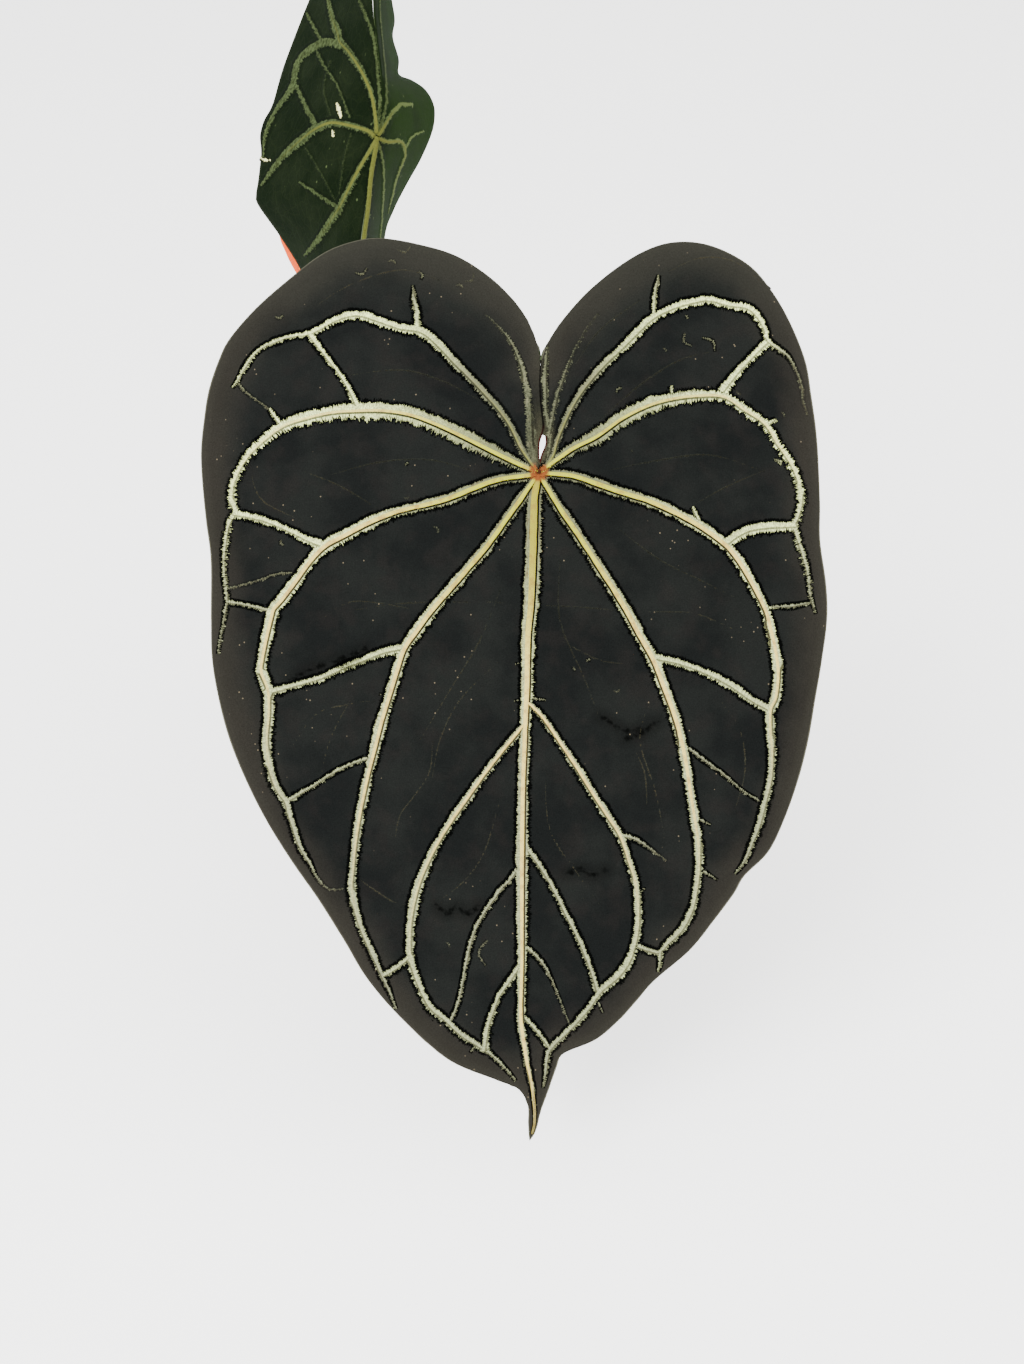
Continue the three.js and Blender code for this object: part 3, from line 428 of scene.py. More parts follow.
FRONT_VEINS = {
    "hub": vein(
        [(532, 475), (539, 475.5), (546, 475)], [7, 14, 7], core=(0.5, 1, 0.5), shine=(0.8,), hairs=0.2),
    "midrib": vein(
        [(539, 474), (534.6, 501), (533, 552), (531, 603), (528, 637), (527, 688), (525.7, 718), (523, 790),
         (522, 866), (522, 943), (522, 961), (521, 1015), (523, 1037), (527.5, 1065), (532, 1087),
         (534.4, 1108), (534.4, 1123), (532, 1134)],
        [13, 17, 18, 17, 16, 14, 13, 12, 12, 13, 14, 13, 11, 10, 9, 6, 3.5, 1],
        core=(1.9, 1.8, 1.5, 1.2, 1, 0.8, 0.9, 0.7, 0.5, 0.6, 0.4, 0.2),
        shine=(0.8, 0.9, 1, 1, 0.9, 0.9, 1, 0.9, 0.7)),
    "sinus_left": vein(
        [(535, 467), (532, 450), (531, 435), (530, 420), (528, 400), (525, 380), (520, 362), (514, 348),
         (508, 338), (498.6, 327), (484, 313)],
        [6, 10, 12, 10, 8, 7, 7, 5, 4, 3, 1.5], shine=(0.3, 0.3, 0.45, 0.5, 0.4, 0.25), hairs=0.9,
        border=0.3),
    "top_left": vein(
        [(536, 470), (522, 450), (509, 424), (494, 404), (473, 381), (455, 363), (438, 345), (422, 332),
         (400, 328), (379, 321), (358, 315), (338, 319), (311, 333), (294, 336), (276.5, 341), (258.7, 350),
         (247, 364), (238, 380), (232, 388)],
        [7, 8, 8, 8, 9, 9, 9, 11, 11, 10, 10, 9, 9, 7, 5, 5, 4, 5, 2], core=(0.2, 0.1, 0, 0),
        shine=(0.45, 0.55, 0.65, 0.9, 1, 1, 1, 0.9, 0.9)),
    "top_left_spur": vein([(418, 330), (417, 313), (414, 300), (413, 285)], [7, 6, 5, 2], shine=(1, 0.6)),
    "top_left_drop": vein([(238, 384), (248, 394), (271, 410)], [2.5, 2], shine=(0.5, 0.4)),
    "top_left_link": vein(
        [(309, 334), (322, 351), (334, 366.5), (343, 379), (352, 394.5), (359, 411)], [8, 6, 5, 6, 9]),
    "upper_left": vein(
        [(537, 473), (499, 455), (461, 436), (435, 424), (410, 415), (384, 411), (359, 411), (333, 412.6),
         (308, 418), (282, 427), (256.5, 447), (244, 462), (233.6, 483), (232, 501), (235, 513),
         (228.5, 526), (224.6, 552), (224.6, 577), (227, 598), (224.6, 616), (218, 654)],
        [7, 12, 18, 18, 18, 18, 18, 18, 17, 15, 13, 11, 9, 8, 8, 6, 5, 4, 4, 3, 2],
        core=(0.9, 0.6, 0.4, 0.3, 0.15, 0, 0), shine=(0.9, 1, 1, 1, 1, 1, 0.9, 0.8, 0.7), hairs=1.0),
    "upper_left_stub": vein([(269, 409), (276.5, 419), (281, 427)], [3, 5, 6]),
    "upper_left_link": vein(
        [(233, 514), (251, 517), (269, 522), (290, 531), (308, 540), (325, 547)], [9, 8, 7, 7, 9, 12]),
    "upper_left_tie": vein([(226, 602), (244, 604.6), (272, 611)], [4, 4, 5], shine=(0.8,)),
    "upper_left_thread": vein(
        [(228, 589), (256.5, 581), (277, 574), (297, 573)], [2.5, 2, 2.5], shine=(0.4, 0.5)),
    "middle_left": vein(
        [(537, 475), (499, 480), (473, 489), (448, 499), (422, 506), (397, 512), (371, 522), (346, 535),
         (325, 546.5), (310, 562), (297, 580), (282, 600), (274, 609), (272, 616), (267, 637), (263, 657),
         (261.6, 672), (268, 690), (269, 713), (267, 739), (269, 764), (276, 787), (286, 802), (291, 820),
         (300, 846), (310, 864), (317, 879)],
        [9, 11, 12, 12, 12, 11, 11, 12, 13, 14, 14, 11, 12, 14, 14, 12, 11, 13, 12, 11, 10, 9, 9, 7, 6, 5, 2],
        core=(1, 1, 0.9, 0.8, 0.6, 0.4, 0.2, 0.1, 0), shine=MAIN_SHINE),
    "middle_left_end": vein([(316, 877), (329, 889), (348, 888)], [3, 2, 1.5], shine=(0.5, 0.3)),
    "lower_left": vein(
        [(537, 477), (509, 516), (489, 544), (468, 569), (448, 592), (430, 613), (417, 631), (404.5, 649),
         (397, 672), (389, 698), (381.5, 723), (375, 749), (369, 772), (364, 795), (360, 815), (356, 841),
         (353.5, 866), (352, 889), (357, 915), (364, 935), (373, 955), (382, 975), (389, 991), (396, 1009)],
        [9, 11, 12, 12, 12, 12, 12, 14, 12, 12, 12, 12, 13, 11, 10, 10, 9, 9, 9, 8, 7, 7, 4, 2],
        core=(1, 1, 0.9, 0.7, 0.5, 0.25, 0.1, 0), shine=(0.8, 0.9, 1, 1, 1, 1, 0.9, 0.9, 0.7)),
    "lower_left_tip": vein([(383, 976), (396, 968), (411, 956)], [6, 6, 7]),
    "lower_left_link": vein(
        [(404, 648), (384, 652), (364, 659.5), (343, 668), (323, 677), (300, 684), (268, 693)],
        [10, 9, 8, 7, 7, 7, 9]),
    "lower_left_tie": vein(
        [(372, 757), (353.5, 763), (333, 773), (313, 786), (287, 801)], [5, 4, 4, 4, 6], shine=(0.9,)),
    "side_left": vein(
        [(524, 725), (504, 749), (486, 772), (468, 797), (450, 823), (435, 848), (422, 876), (415, 899),
         (411, 922), (410, 942), (411, 961), (419, 985), (430, 1006.5), (445, 1019.5), (462, 1035),
         (488, 1052), (505, 1068), (516, 1081)],
        [7, 8, 8, 9, 9, 9, 9, 10, 12, 10, 9, 8, 8, 8, 7, 6, 4, 2], **SIDE_LOOK),
    "inner_left": vein(
        [(521, 863), (509, 881), (501, 889), (484, 913), (473, 935), (467, 959), (459, 1000), (450, 1022)],
        [5, 5, 5, 4.5, 4.5, 4, 4, 4], shine=(0.8,)),
    "tip_left": vein(
        [(520, 965), (510, 980), (499, 996), (493, 1011), (488, 1026), (484, 1051)], [7, 7, 6, 6, 7, 8]),
    "sinus_right": vein(
        [(544, 467), (548.5, 456), (550.5, 441), (548.5, 427), (546, 412), (545.3, 396), (545, 378),
         (546, 362), (548, 344)],
        [3, 4, 5, 5, 6, 6.5, 6, 5, 2], shine=(0.35, 0.4, 0.5, 0.5, 0.4), hairs=0.9, border=0.3),
    "sinus_right_twig": vein(
        [(549, 436), (553, 415), (557, 396), (562, 382), (571, 358), (586, 329.5), (599, 313)],
        [5, 6, 5, 4, 2.5, 2, 1.5], shine=(0.4, 0.4, 0.35, 0.2), hairs=0.9),
    "top_right": vein(
        [(544, 469), (553, 456), (558, 439), (571, 409), (586, 386), (604, 365), (622, 348), (640, 330),
         (653, 318), (673, 308), (693.5, 302), (709, 300), (729, 305), (747, 308), (757, 316), (765, 330),
         (768, 341), (778, 349), (788, 356.5), (796, 371), (802, 388), (803, 401), (808, 416)],
        [6, 6, 7, 8, 8, 8, 9, 9, 10, 10, 9, 9, 9, 9, 8, 8, 9, 6, 5, 3, 3, 3, 1.5], core=(0.2, 0.1, 0, 0),
        shine=(0.45, 0.55, 0.7, 0.95, 1, 1, 1, 1, 0.45, 0.3)),
    "top_right_spur": vein([(654, 320), (655, 294), (659, 275)], [6, 5, 2.5], shine=(1, 0.7)),
    "top_right_link": vein([(767, 342), (750, 359), (737, 373), (722, 392)], [8, 8, 9, 12]),
    "upper_right": vein(
        [(541, 472), (571, 450), (596.5, 437), (622, 419), (648, 406), (673, 399), (699, 396), (724, 397),
         (744.5, 410), (765, 424), (778, 444.5), (790, 462), (798, 480), (801, 501), (797, 518.5),
         (794, 527), (801, 549), (808, 575), (811, 598), (816, 614)],
        [7, 11, 14, 17, 17, 17, 15, 13, 12, 10, 9, 9, 8, 8, 8, 8, 6, 5, 4, 2],
        core=(0.9, 0.6, 0.45, 0.35, 0.3, 0.25, 0.1, 0, 0), shine=(0.9, 1, 1, 1, 1, 1, 1, 0.9, 0.8, 0.7),
        hairs=1.0),
    "upper_right_stub": vein([(670.5, 386), (672, 394), (674, 400)], [3, 4, 5]),
    "upper_right_spur": vein([(776, 419), (768, 424)], [3, 5]),
    "upper_right_link": vein(
        [(796, 526), (770, 527), (750, 530), (734, 538), (724, 547)], [9, 11, 12, 12, 12]),
    "middle_right": vein(
        [(541, 474), (571, 476), (596.5, 484), (622, 493), (648, 501), (673, 512), (699, 526), (724, 544),
         (737, 559), (750, 580), (762, 603), (767, 615), (770.5, 629), (775.5, 652), (778, 675),
         (775.5, 698), (770.5, 710), (770.5, 733.5), (772, 754), (770.5, 779), (765, 802), (759, 825),
         (751, 846), (744, 862), (735, 874)],
        [9, 11, 12, 12, 12, 12, 12, 12, 13, 12, 11, 11, 10, 11, 11, 11, 12, 10, 9, 8, 8, 8, 6, 5, 2],
        core=(1, 1, 0.9, 0.7, 0.5, 0.3, 0.1, 0), shine=MAIN_SHINE),
    "middle_right_stub": vein([(692, 507), (697, 517), (702, 527)], [3, 5, 6]),
    "middle_right_twig": vein([(762, 606), (770, 608), (777, 608)], [5, 4, 2]),
    "middle_right_tie": vein([(770, 607), (793, 606), (812, 602)], [2.5, 4, 3], shine=(0.7,)),
    "lower_right": vein(
        [(540, 477), (558, 506), (574, 529), (589, 552), (604, 575), (625, 608.5), (640, 636.5),
         (653, 659.5), (663, 685), (673.5, 713), (681, 739), (686, 764), (690, 790), (694, 815), (698, 841),
         (699, 866), (696, 892), (691, 912), (681, 930), (668, 943), (659, 952), (648, 950), (637, 946)],
        [9, 11, 12, 12, 12, 12, 12, 13, 13, 13, 12, 12, 11, 10, 10, 10, 9, 9, 8, 8, 8, 6, 6],
        core=(1, 1, 1, 0.9, 0.8, 0.5, 0.2, 0.1, 0), shine=(0.8, 0.85, 0.9, 1, 1, 1, 1, 0.95, 0.9)),
    "lower_right_tail": vein([(660, 951), (660, 962), (658, 972)], [6, 4, 2]),
    "lower_right_link": vein(
        [(655, 658), (679, 663), (704, 672), (730, 685), (750, 699), (772, 711)], [9, 8, 8, 9, 9, 10]),
    "lower_right_tie": vein(
        [(684, 745), (704, 760), (722, 773), (742, 790), (764, 804)], [4, 4, 3, 2.5, 3], shine=(0.7,)),
    "side_right": vein(
        [(527, 702), (543, 718), (561, 744), (576.5, 767), (592, 792), (607, 815), (620, 835.5),
         (628, 858.5), (635, 881), (638, 904), (638, 925), (635, 943), (629, 961), (618.5, 976), (601, 991),
         (588, 1009), (571, 1028), (551, 1048), (547, 1060), (546, 1071.5), (543, 1088)],
        [7, 7, 7, 8, 9, 9, 9, 9, 8, 8, 8, 8, 9, 10, 10, 8, 7, 7, 6, 5, 2], **SIDE_LOOK),
    "side_right_twig": vein(
        [(623, 836), (632, 838), (642, 843), (667, 861)], [5, 4, 3, 1.5], shine=(0.9, 0.3)),
    "inner_right": vein(
        [(525, 846), (542, 869), (556, 894), (569, 920), (580, 942), (590, 967), (598, 992)],
        [6, 6, 6, 6, 6, 6, 7], shine=(0.9,)),
    "tip_right": vein([(523, 1016), (536, 1030), (549, 1047)], [5, 5, 5]),
    "low_right": vein(
        [(525, 946), (539, 959), (549, 974), (560, 1000), (570, 1026)], [5, 4, 2.5, 2, 2], shine=(0.9, 0.4)),
}

# Short spurs where finer veins leave a band: from and to
FRONT_SPURS = [
    ((527, 662), (515, 664)), ((526, 699), (514, 701)), ((528, 698), (546, 700)), ((432, 611), (423, 611)),
    ((389, 697), (379, 694)), ((359, 826), (349, 829)), ((436, 848), (428, 847)), ((416, 902), (406, 901)),
    ((430, 1008), (434, 1021)), ((476, 1044), (470, 1053)), ((636, 888), (646, 889)),
    ((596, 998), (603, 1013)), ((696, 818), (711, 825)), ((699, 869), (718, 880)),
    ((782, 462), (774, 459)),
]
for number, ends in enumerate(FRONT_SPURS):
    FRONT_VEINS[f"spur_{number}"] = vein(list(ends), [4.5, 2.5, 1], shine=(0.9, 0.6))

# The thin grey lines of the finest veins, which quilt the panels
FRONT_THREADS = [
    [(300, 470), (340, 486), (380, 510)], [(355, 610), (395, 604), (440, 602), (490, 602), (520, 605)],
    [(420, 611), (385, 604), (350, 602), (320, 620)], [(375, 700), (345, 705), (315, 715), (290, 750)],
    [(432, 740), (430, 770), (415, 795), (400, 815), (395, 840)], [(540, 605), (590, 608), (625, 611)],
    [(634, 613), (665, 612), (700, 615), (745, 635)], [(635, 750), (645, 775), (647, 810)],
    [(668, 272), (700, 258), (735, 262), (770, 290)], [(695, 504), (728, 486), (765, 470)],
    [(480, 400), (440, 380), (400, 370), (350, 375)], [(470, 470), (430, 460), (380, 462), (330, 475)],
    [(600, 420), (640, 385), (680, 360), (720, 350)], [(610, 470), (660, 460), (710, 455), (760, 470)],
    [(620, 530), (660, 560), (700, 580), (740, 600)], [(560, 560), (560, 620), (585, 680), (600, 720)],
    [(500, 590), (480, 640), (450, 690), (420, 740)], [(545, 780), (550, 830), (575, 870), (600, 905)],
    [(500, 800), (485, 850), (465, 880), (440, 900)], [(650, 700), (640, 740), (655, 790), (665, 840)],
    [(350, 700), (330, 740), (320, 780)], [(360, 880), (390, 900), (405, 905)],
    [(720, 700), (740, 730), (745, 770), (735, 810)], [(560, 640), (600, 660), (640, 665)],
    [(250, 470), (262, 500), (300, 520)], [(440, 280), (400, 270), (350, 285), (310, 310)],
    [(500, 660), (460, 700), (440, 740), (432, 780)], [(640, 300), (600, 330), (575, 365)],
]

# Pale flecks and scars on the velvet: from, to
FRONT_FLECKS = [
    ((397, 250), (411, 246)), ((388, 262), (396, 264)), ((355, 273), (367, 268)), ((418, 271), (421, 280)),
    ((464, 282), (474, 273)), ((456, 286), (463, 288)), ((275, 317), (283, 315)), ((406, 466), (409, 463)),
    ((404, 498), (409, 497)), ((433, 527), (438, 533)), ((280, 540), (284, 545)), ((617, 393), (622, 388)),
    ((631, 450), (633, 452)), ((663, 349), (666, 352)), ((684, 333), (692, 346)), ((702, 338), (715, 352)),
    ((736, 391), (741, 394)), ((781, 413), (784, 417)), ((573, 667), (576, 670)), ((587, 662), (591, 660)),
    ((613, 691), (620, 689)), ((446, 943), (449, 947)), ((487, 940), (486, 966)), ((685, 316), (687, 319)),
]
print("front veins:", len(FRONT_VEINS), "threads:", len(FRONT_THREADS), "flecks:", len(FRONT_FLECKS))

# %% [markdown]
# ## How the front leaf lies
# A living blade is never flat. Its sides, lobes and tip fall back from a middle that faces the
# view, its panels swell between the veins, its margin waves, and its finest veins pull the skin
# down in furrows. Each is a term of one depth formula, which all that lies on the blade follows.

# %% The front leaf's depth
BLADE_THICKNESS = 0.8
DRAPE = {
    "side": 13, "side_reach": 315, "side_centre": 539, "length": 22, "length_reach": 480,
    "length_centre": 652,
}
QUILT = {"height": 1.5, "reach": 42}
WAVE = {"height": 2.6, "band": 75, "count": 13, "centre": (530, 620)}
THREAD = {"depth": 0.22, "reach": 5}
FRONT_LOW = (188, 226)
FRONT_HIGH = (844, 1154)
# Places where a panel bulges or sinks on its own: x, y, reach across, reach down, height
SWELLS = [
    (330, 664, 46, 12, -2.0), (638, 733, 22, 8, -1.6), (590, 872, 24, 7, -1.4), (457, 908, 26, 7, -1.4),
    (606, 742, 20, 14, 0.5), (430, 925, 20, 14, 0.4), (700, 450, 50, 18, 0.5), (390, 470, 50, 16, 0.5),
    (480, 700, 26, 30, 0.5), (590, 660, 24, 30, 0.5), (740, 880, 18, 22, -0.8), (240, 560, 16, 40, -0.5),
]
# Lines of painted shadow along sharp folds pressed into the blade: broken dark lines
FOLD_SHADOW_LINES = [
    [(437, 907), (447, 913), (457, 908), (470, 913), (480, 906)], [(626, 739), (638, 735), (650, 728)],
    [(600, 716), (618, 727), (634, 731), (657, 722)], [(567, 873), (580, 870), (592, 874), (607, 870)],
    [(290, 680), (312, 668), (338, 660), (366, 649)],
]


def sampled(points, step):
    """Places along a curve, about this far apart."""
    count = max(2, math.ceil(curve_length(points) / step) + 1)
    return curve_at(points, np.linspace(0, 1, count))


def distance_map(lines, spacing, low=FRONT_LOW, high=FRONT_HIGH, step=3.0):
    """A look-up of how far a place is from the nearest line. The distance is worked out on a
    raster and read between its points in proportion to how close each one is."""
    spots = np.vstack([sampled(points, spacing) for points in lines])
    xs = np.arange(low[0], high[0] + step, step)
    ys = np.arange(low[1], high[1] + step, step)
    grid_x, grid_y = np.meshgrid(xs, ys)
    near = np.full(grid_x.shape, np.inf)
    for some in np.array_split(spots, max(1, len(spots) // 60)):
        away = np.hypot(grid_x[..., None] - some[:, 0], grid_y[..., None] - some[:, 1])
        near = np.minimum(near, away.min(axis=-1))

    def look(x, y):
        """Distance at picture places, read between the raster's points."""
        column = np.clip((x - low[0]) / step, 0, len(xs) - 1.001)
        row = np.clip((y - low[1]) / step, 0, len(ys) - 1.001)
        i, j = row.astype(int), column.astype(int)
        v, u = row - i, column - j
        upper = near[i, j] * (1 - u) + near[i, j + 1] * u
        lower = near[i + 1, j] * (1 - u) + near[i + 1, j + 1] * u
        return upper * (1 - v) + lower * v

    return look


to_vein = distance_map([line["points"] for line in FRONT_VEINS.values() if max(line["widths"]) > 3], 6)
to_edge = distance_map([FRONT[half]["margin"] for half in HALVES], 5)
to_slit = distance_map([FRONT[half]["sinus"] for half in HALVES], 5, (495, 330), (585, 495), 1.5)
to_fold_shadow = distance_map(FOLD_SHADOW_LINES, 2, step=2)
to_thread = distance_map(FRONT_THREADS, 4)


def bell(x, y, at_x, at_y, wide, tall):
    """A soft bump: e to the minus square of the way from its middle, counted in its reaches."""
    return np.exp(-(((x - at_x) / wide) ** 2) - ((y - at_y) / tall) ** 2)


def front_depth(x, y):
    """Depth = fall of sides and ends (square of the way from the middle) - swell between veins
    (1 - bell of the distance from a vein) + waves that grow towards the margin + furrows."""
    side = DRAPE["side"] * ((x - DRAPE["side_centre"]) / DRAPE["side_reach"]) ** 2
    length = DRAPE["length"] * ((y - DRAPE["length_centre"]) / DRAPE["length_reach"]) ** 2
    quilt = QUILT["height"] * (1 - np.exp(-((to_vein(x, y) / QUILT["reach"]) ** 2)))
    near_edge = np.maximum(0, 1 - to_edge(x, y) / WAVE["band"])
    turn = np.arctan2(y - WAVE["centre"][1], x - WAVE["centre"][0])
    wave = WAVE["height"] * near_edge**2 * np.sin(WAVE["count"] * turn)
    furrow = THREAD["depth"] * np.exp(-((to_thread(x, y) / THREAD["reach"]) ** 2))
    swell = sum(high * bell(x, y, *spot) for *spot, high in SWELLS)
    return FRONT_DEPTH + side + length - quilt + wave + furrow - swell


def facing(depth_of, x, y, step=1.0):
    """Points of a surface, and which way it faces: the cross product of a small step down and a
    small step across."""
    here = place(x, y, depth_of(x, y))
    across = place(x + step, y, depth_of(x + step, y)) - here
    down = place(x, y + step, depth_of(x, y + step)) - here
    return here, unit(np.cross(down, across))


def on_front(x, y):
    """Points and directions of the front leaf's face."""
    return facing(front_depth, x, y)


print("front depth at the junction, mm:", round(float(front_depth(539.0, 480.0)), 1))

# %% [markdown]
# ## The blade
# A leaf blade is a thin skin with a face, a back and a soft rim. A flat sheet with a leaf drawn on
# it would look right from one side only. Here each half is a grid whose rows run straight from the
# midrib to the margin. The back is the same grid, coarser and set in by the blade's thickness, and
# the rim between them bulges a little, so that the edge catches the light.

# %% Blades from rows
RIM_BULGE = 0.3
UNDER_EVERY = 4
RIB_SIDES = 7
RIB_SHARE = 0.32
RIB_SUNK = 0.15
BAND_NUMBERS = ("across", "half", "run", "core", "shine", "hairs", "low")


def blade_lines(leaf, half, below, above):
    """Where each row starts, on the midrib or the edge of the sinus, and where it ends, on the
    margin, as even shares of those lines."""
    lower = np.linspace(0, 1, below + 1)
    upper = np.linspace(0, 1, above + 1)[1:]
    reach = leaf[half]["junction_share"]
    inner = np.vstack([curve_at(leaf["midrib"], lower), curve_at(leaf[half]["sinus"], upper)])
    outer = curve_at(leaf[half]["margin"], np.concatenate([lower * reach, reach + upper * (1 - reach)]))
    return inner, outer


def half_grids(leaf, rows, columns):
    """Both halves' grids in the picture, whose rows run straight from their inner to their outer
    end: the places, each place's share of its row, the rows' lengths, and no band anywhere."""
    share = np.linspace(0, 1, columns + 1)
    for half in HALVES:
        inner, outer = blade_lines(leaf, half, *rows)
        spots = inner[:, None] + (outer - inner)[:, None] * share[:, None]
        bare = dict.fromkeys(BAND_NUMBERS, np.zeros(spots.shape[:2]))
        yield spots[..., 0], spots[..., 1], share, np.linalg.norm(outer - inner, axis=1)[:, None], bare


def grid_directions(points):
    """Which way a grid faces: the cross product of its row and column steps, towards the eye."""
    out = unit(np.cross(np.gradient(points, axis=0), np.gradient(points, axis=1)))
    out *= np.sign(np.sum(out * (EYE - points)))
    out[0] = out[1]
    out[-1] = out[-2]
    return out


def blade_shell(parts, halves, below, thickness):
    """Face, back and rim of both halves. halves holds (points, numbers kept at each point)."""
    facings = [grid_directions(points) for points, _ in halves]
    spine = unit(facings[0][: below + 1, 0] + facings[1][: below + 1, 0])
    for (points, kept), out in zip(halves, facings):
        out[: below + 1, 0] = spine
        under = points - out * thickness
        parts.add(points, sheet_faces, back=0.0, **kept)
        few = {name: values[:, ::UNDER_EVERY] for name, values in kept.items()}
        parts.add(under[:, ::UNDER_EVERY], sheet_faces, back=1.0, **few)
        for edge, inside, rows in ((-1, -2, slice(None)), (0, 1, slice(below, None))):
            outward = unit(points[rows, edge] - points[rows, inside]) * RIM_BULGE * thickness
            middle = (points[rows, edge] + under[rows, edge]) / 2 + outward
            rim = np.stack([points[rows, edge], middle, under[rows, edge]], axis=1)
            held = {name: np.repeat(values[rows, edge][:, None], 3, axis=1) for name, values in kept.items()}
            parts.add(rim, sheet_faces, back=np.array([0.0, 0.5, 1.0]), **held)


print("numbers kept for the bands:", BAND_NUMBERS)

# %% The front leaf's blade
FRONT_ROWS = (190, 104)
FRONT_COLUMNS = 72
PX = FRONT_DEPTH / VIEW_FOCAL


def from_hub(leaf, x, y):
    """How far a place is from where the leaf's veins meet."""
    hub_x, hub_y = leaf["midrib"][-1]
    return np.hypot(x - hub_x, y - hub_y)


def front_numbers(x, y):
    """What the front leaf's finish needs to know at a place: millimetres from the margin, from the
    slit, from the junction and from the nearest fold line that takes painted shadow."""
    return {
        "edge": to_edge(x, y) * PX,
        "slit": to_slit(x, y) * PX,
        "hub": from_hub(FRONT, x, y) * PX,
        "fold": to_fold_shadow(x, y) * PX,
    }


def front_halves():
    """Both halves' points on the face, with their numbers."""
    above = slice(FRONT_ROWS[0], None)
    for x, y, share, length, bare in half_grids(FRONT, FRONT_ROWS, FRONT_COLUMNS):
        numbers = front_numbers(x, y)
        numbers["edge"] = np.minimum(numbers["edge"], (1 - share) * (length * PX))
        numbers["slit"][above] = np.minimum(numbers["slit"], share * (length * PX))[above]
        yield place(x, y, front_depth(x, y)), {**numbers, **bare}


front_parts = Parts()
blade_shell(front_parts, list(front_halves()), FRONT_ROWS[0], BLADE_THICKNESS)
front_leaf = make_piece("front_leaf", front_parts, "velvet", ["front_blade"])

# %% [markdown]
# ## Raised veins
# The silver bands are low ridges in the skin, and the main ones have a rounded yellow core that
# stands higher. Paint on the blade would show nothing from the side. Each is a ribbon draped on
# the blade: rings of points across the vein, a flat shoulder, a round core, and borders that dive
# under the skin. Points keep their distance from the vein's middle, so that the finish can fray
# the band's edge there, hair by hair.

# %% Ribbons that follow a blade
RIBBON_COLUMNS = np.array([1, 0.84, 0.5, 0.26, 0.12, 0, -0.12, -0.26, -0.5, -0.84, -1])
BORDER = np.array([6.6, 4.4])
BORDER_RISE = np.array([-0.3, 0.02])
SHOULDER_RISE = 0.2
CORE_RISE = 0.4
CORE_REACH = 0.5
BAND_SHARE = 0.88
WANDER = 0.07
WANDER_REACHES = (3.1, 5.3, 8.7, 14.0)
LIFT_STEP = 0.002
LOW_SIDE = np.array([0.15, 0.99])


def steps_along(line, step):
    """Even steps along a vein: their shares of it, their places and which way is across it."""
    count = max(4, math.ceil(curve_length(line["points"]) / step) + 1)
    shares = np.linspace(0, 1, count)
    centre = curve_at(line["points"], shares)
    heading = unit(np.gradient(centre, axis=0))
    return shares, centre, np.stack([-heading[:, 1], heading[:, 0]], axis=1)


def ribbon(parts, surface, line, step, seed, numbers, px, rise=1.0):
    """One raised vein. Across it, height = shoulder * (1 - u^4 / 2) + core * bell(distance from the
    middle), where u is the share of the half width, and the border goes below the skin. Where the
    leaf turns away from the eye, what is drawn narrows with the square root of the stretch."""
    shares, centre, aside = steps_along(line, step)
    count = len(shares)
    run = np.concatenate([[0], np.cumsum(np.linalg.norm(np.diff(centre, axis=0), axis=1))])
    phases = np.random.default_rng(seed).uniform(0, 6.28, 4)
    wander = sum(np.sin(run / reach + phase) for reach, phase in zip(WANDER_REACHES, phases)) / 2
    half = along(line["widths"], shares) / 2 * BAND_SHARE * (1 + WANDER * wander)
    inside = half[:, None] * RIBBON_COLUMNS
    past = BORDER * (line["border"] * np.clip(half / 3, 0.3, 1))[:, None]
    offsets = np.hstack([half[:, None] + past, inside, -half[:, None] - past[:, ::-1]])
    core = along(line["core"], shares)[:, None]
    lift = LIFT_STEP * (seed % 17)
    shoulder = SHOULDER_RISE * np.minimum(1, half / 4)[:, None] + lift
    ridge = shoulder * (1 - RIBBON_COLUMNS**4 / 2) + CORE_RISE * np.minimum(core, 1.3) * np.exp(
        -((inside * px / CORE_REACH / (0.6 + 0.4 * core)) ** 2))
    border = np.broadcast_to(BORDER_RISE + lift, (count, len(BORDER)))
    height = np.hstack([border, ridge, border[:, ::-1]]) * rise
    middle, _ = surface(centre[:, 0], centre[:, 1])
    beside, _ = surface(*(centre + aside).T)
    stretch = np.maximum(1, np.linalg.norm(beside - middle, axis=1) / px)[:, None]
    seen = offsets / np.sqrt(np.maximum(1, stretch / 2))
    x = centre[:, :1] + seen * aside[:, :1]
    y = centre[:, 1:] + seen * aside[:, 1:]
    points, out = surface(x, y)
    low = np.clip(8 * (aside @ LOW_SIDE), -1, 1)[:, None]
    parts.add(
        points + out * height[..., None], ring_faces, back=0.0, across=offsets * px, half=half[:, None] * px,
        run=run[:, None] * px, core=core, shine=along(line["shine"], shares)[:, None], hairs=line["hairs"],
        low=low, **numbers(x, y),
    )


def under_rib(parts, surface, line, step, widest, thickness, px):
    """The back of a vein: a half-round rib under the blade, a little higher than half its width."""
    shares, centre, aside = steps_along(line, step)
    half = np.minimum(along(line["widths"], shares) * RIB_SHARE, widest / 2 / px)
    turn = np.linspace(0, math.pi, RIB_SIDES)
    offsets = half[:, None] * np.cos(turn)
    points, out = surface(centre[:, :1] + offsets * aside[:, :1], centre[:, 1:] + offsets * aside[:, 1:])
    depth = thickness - RIB_SUNK + half[:, None] * px * 1.1 * np.sin(turn)
    parts.add(points - out * depth[..., None], ring_faces)


print("points across a ribbon:", len(RIBBON_COLUMNS) + 2 * len(BORDER))

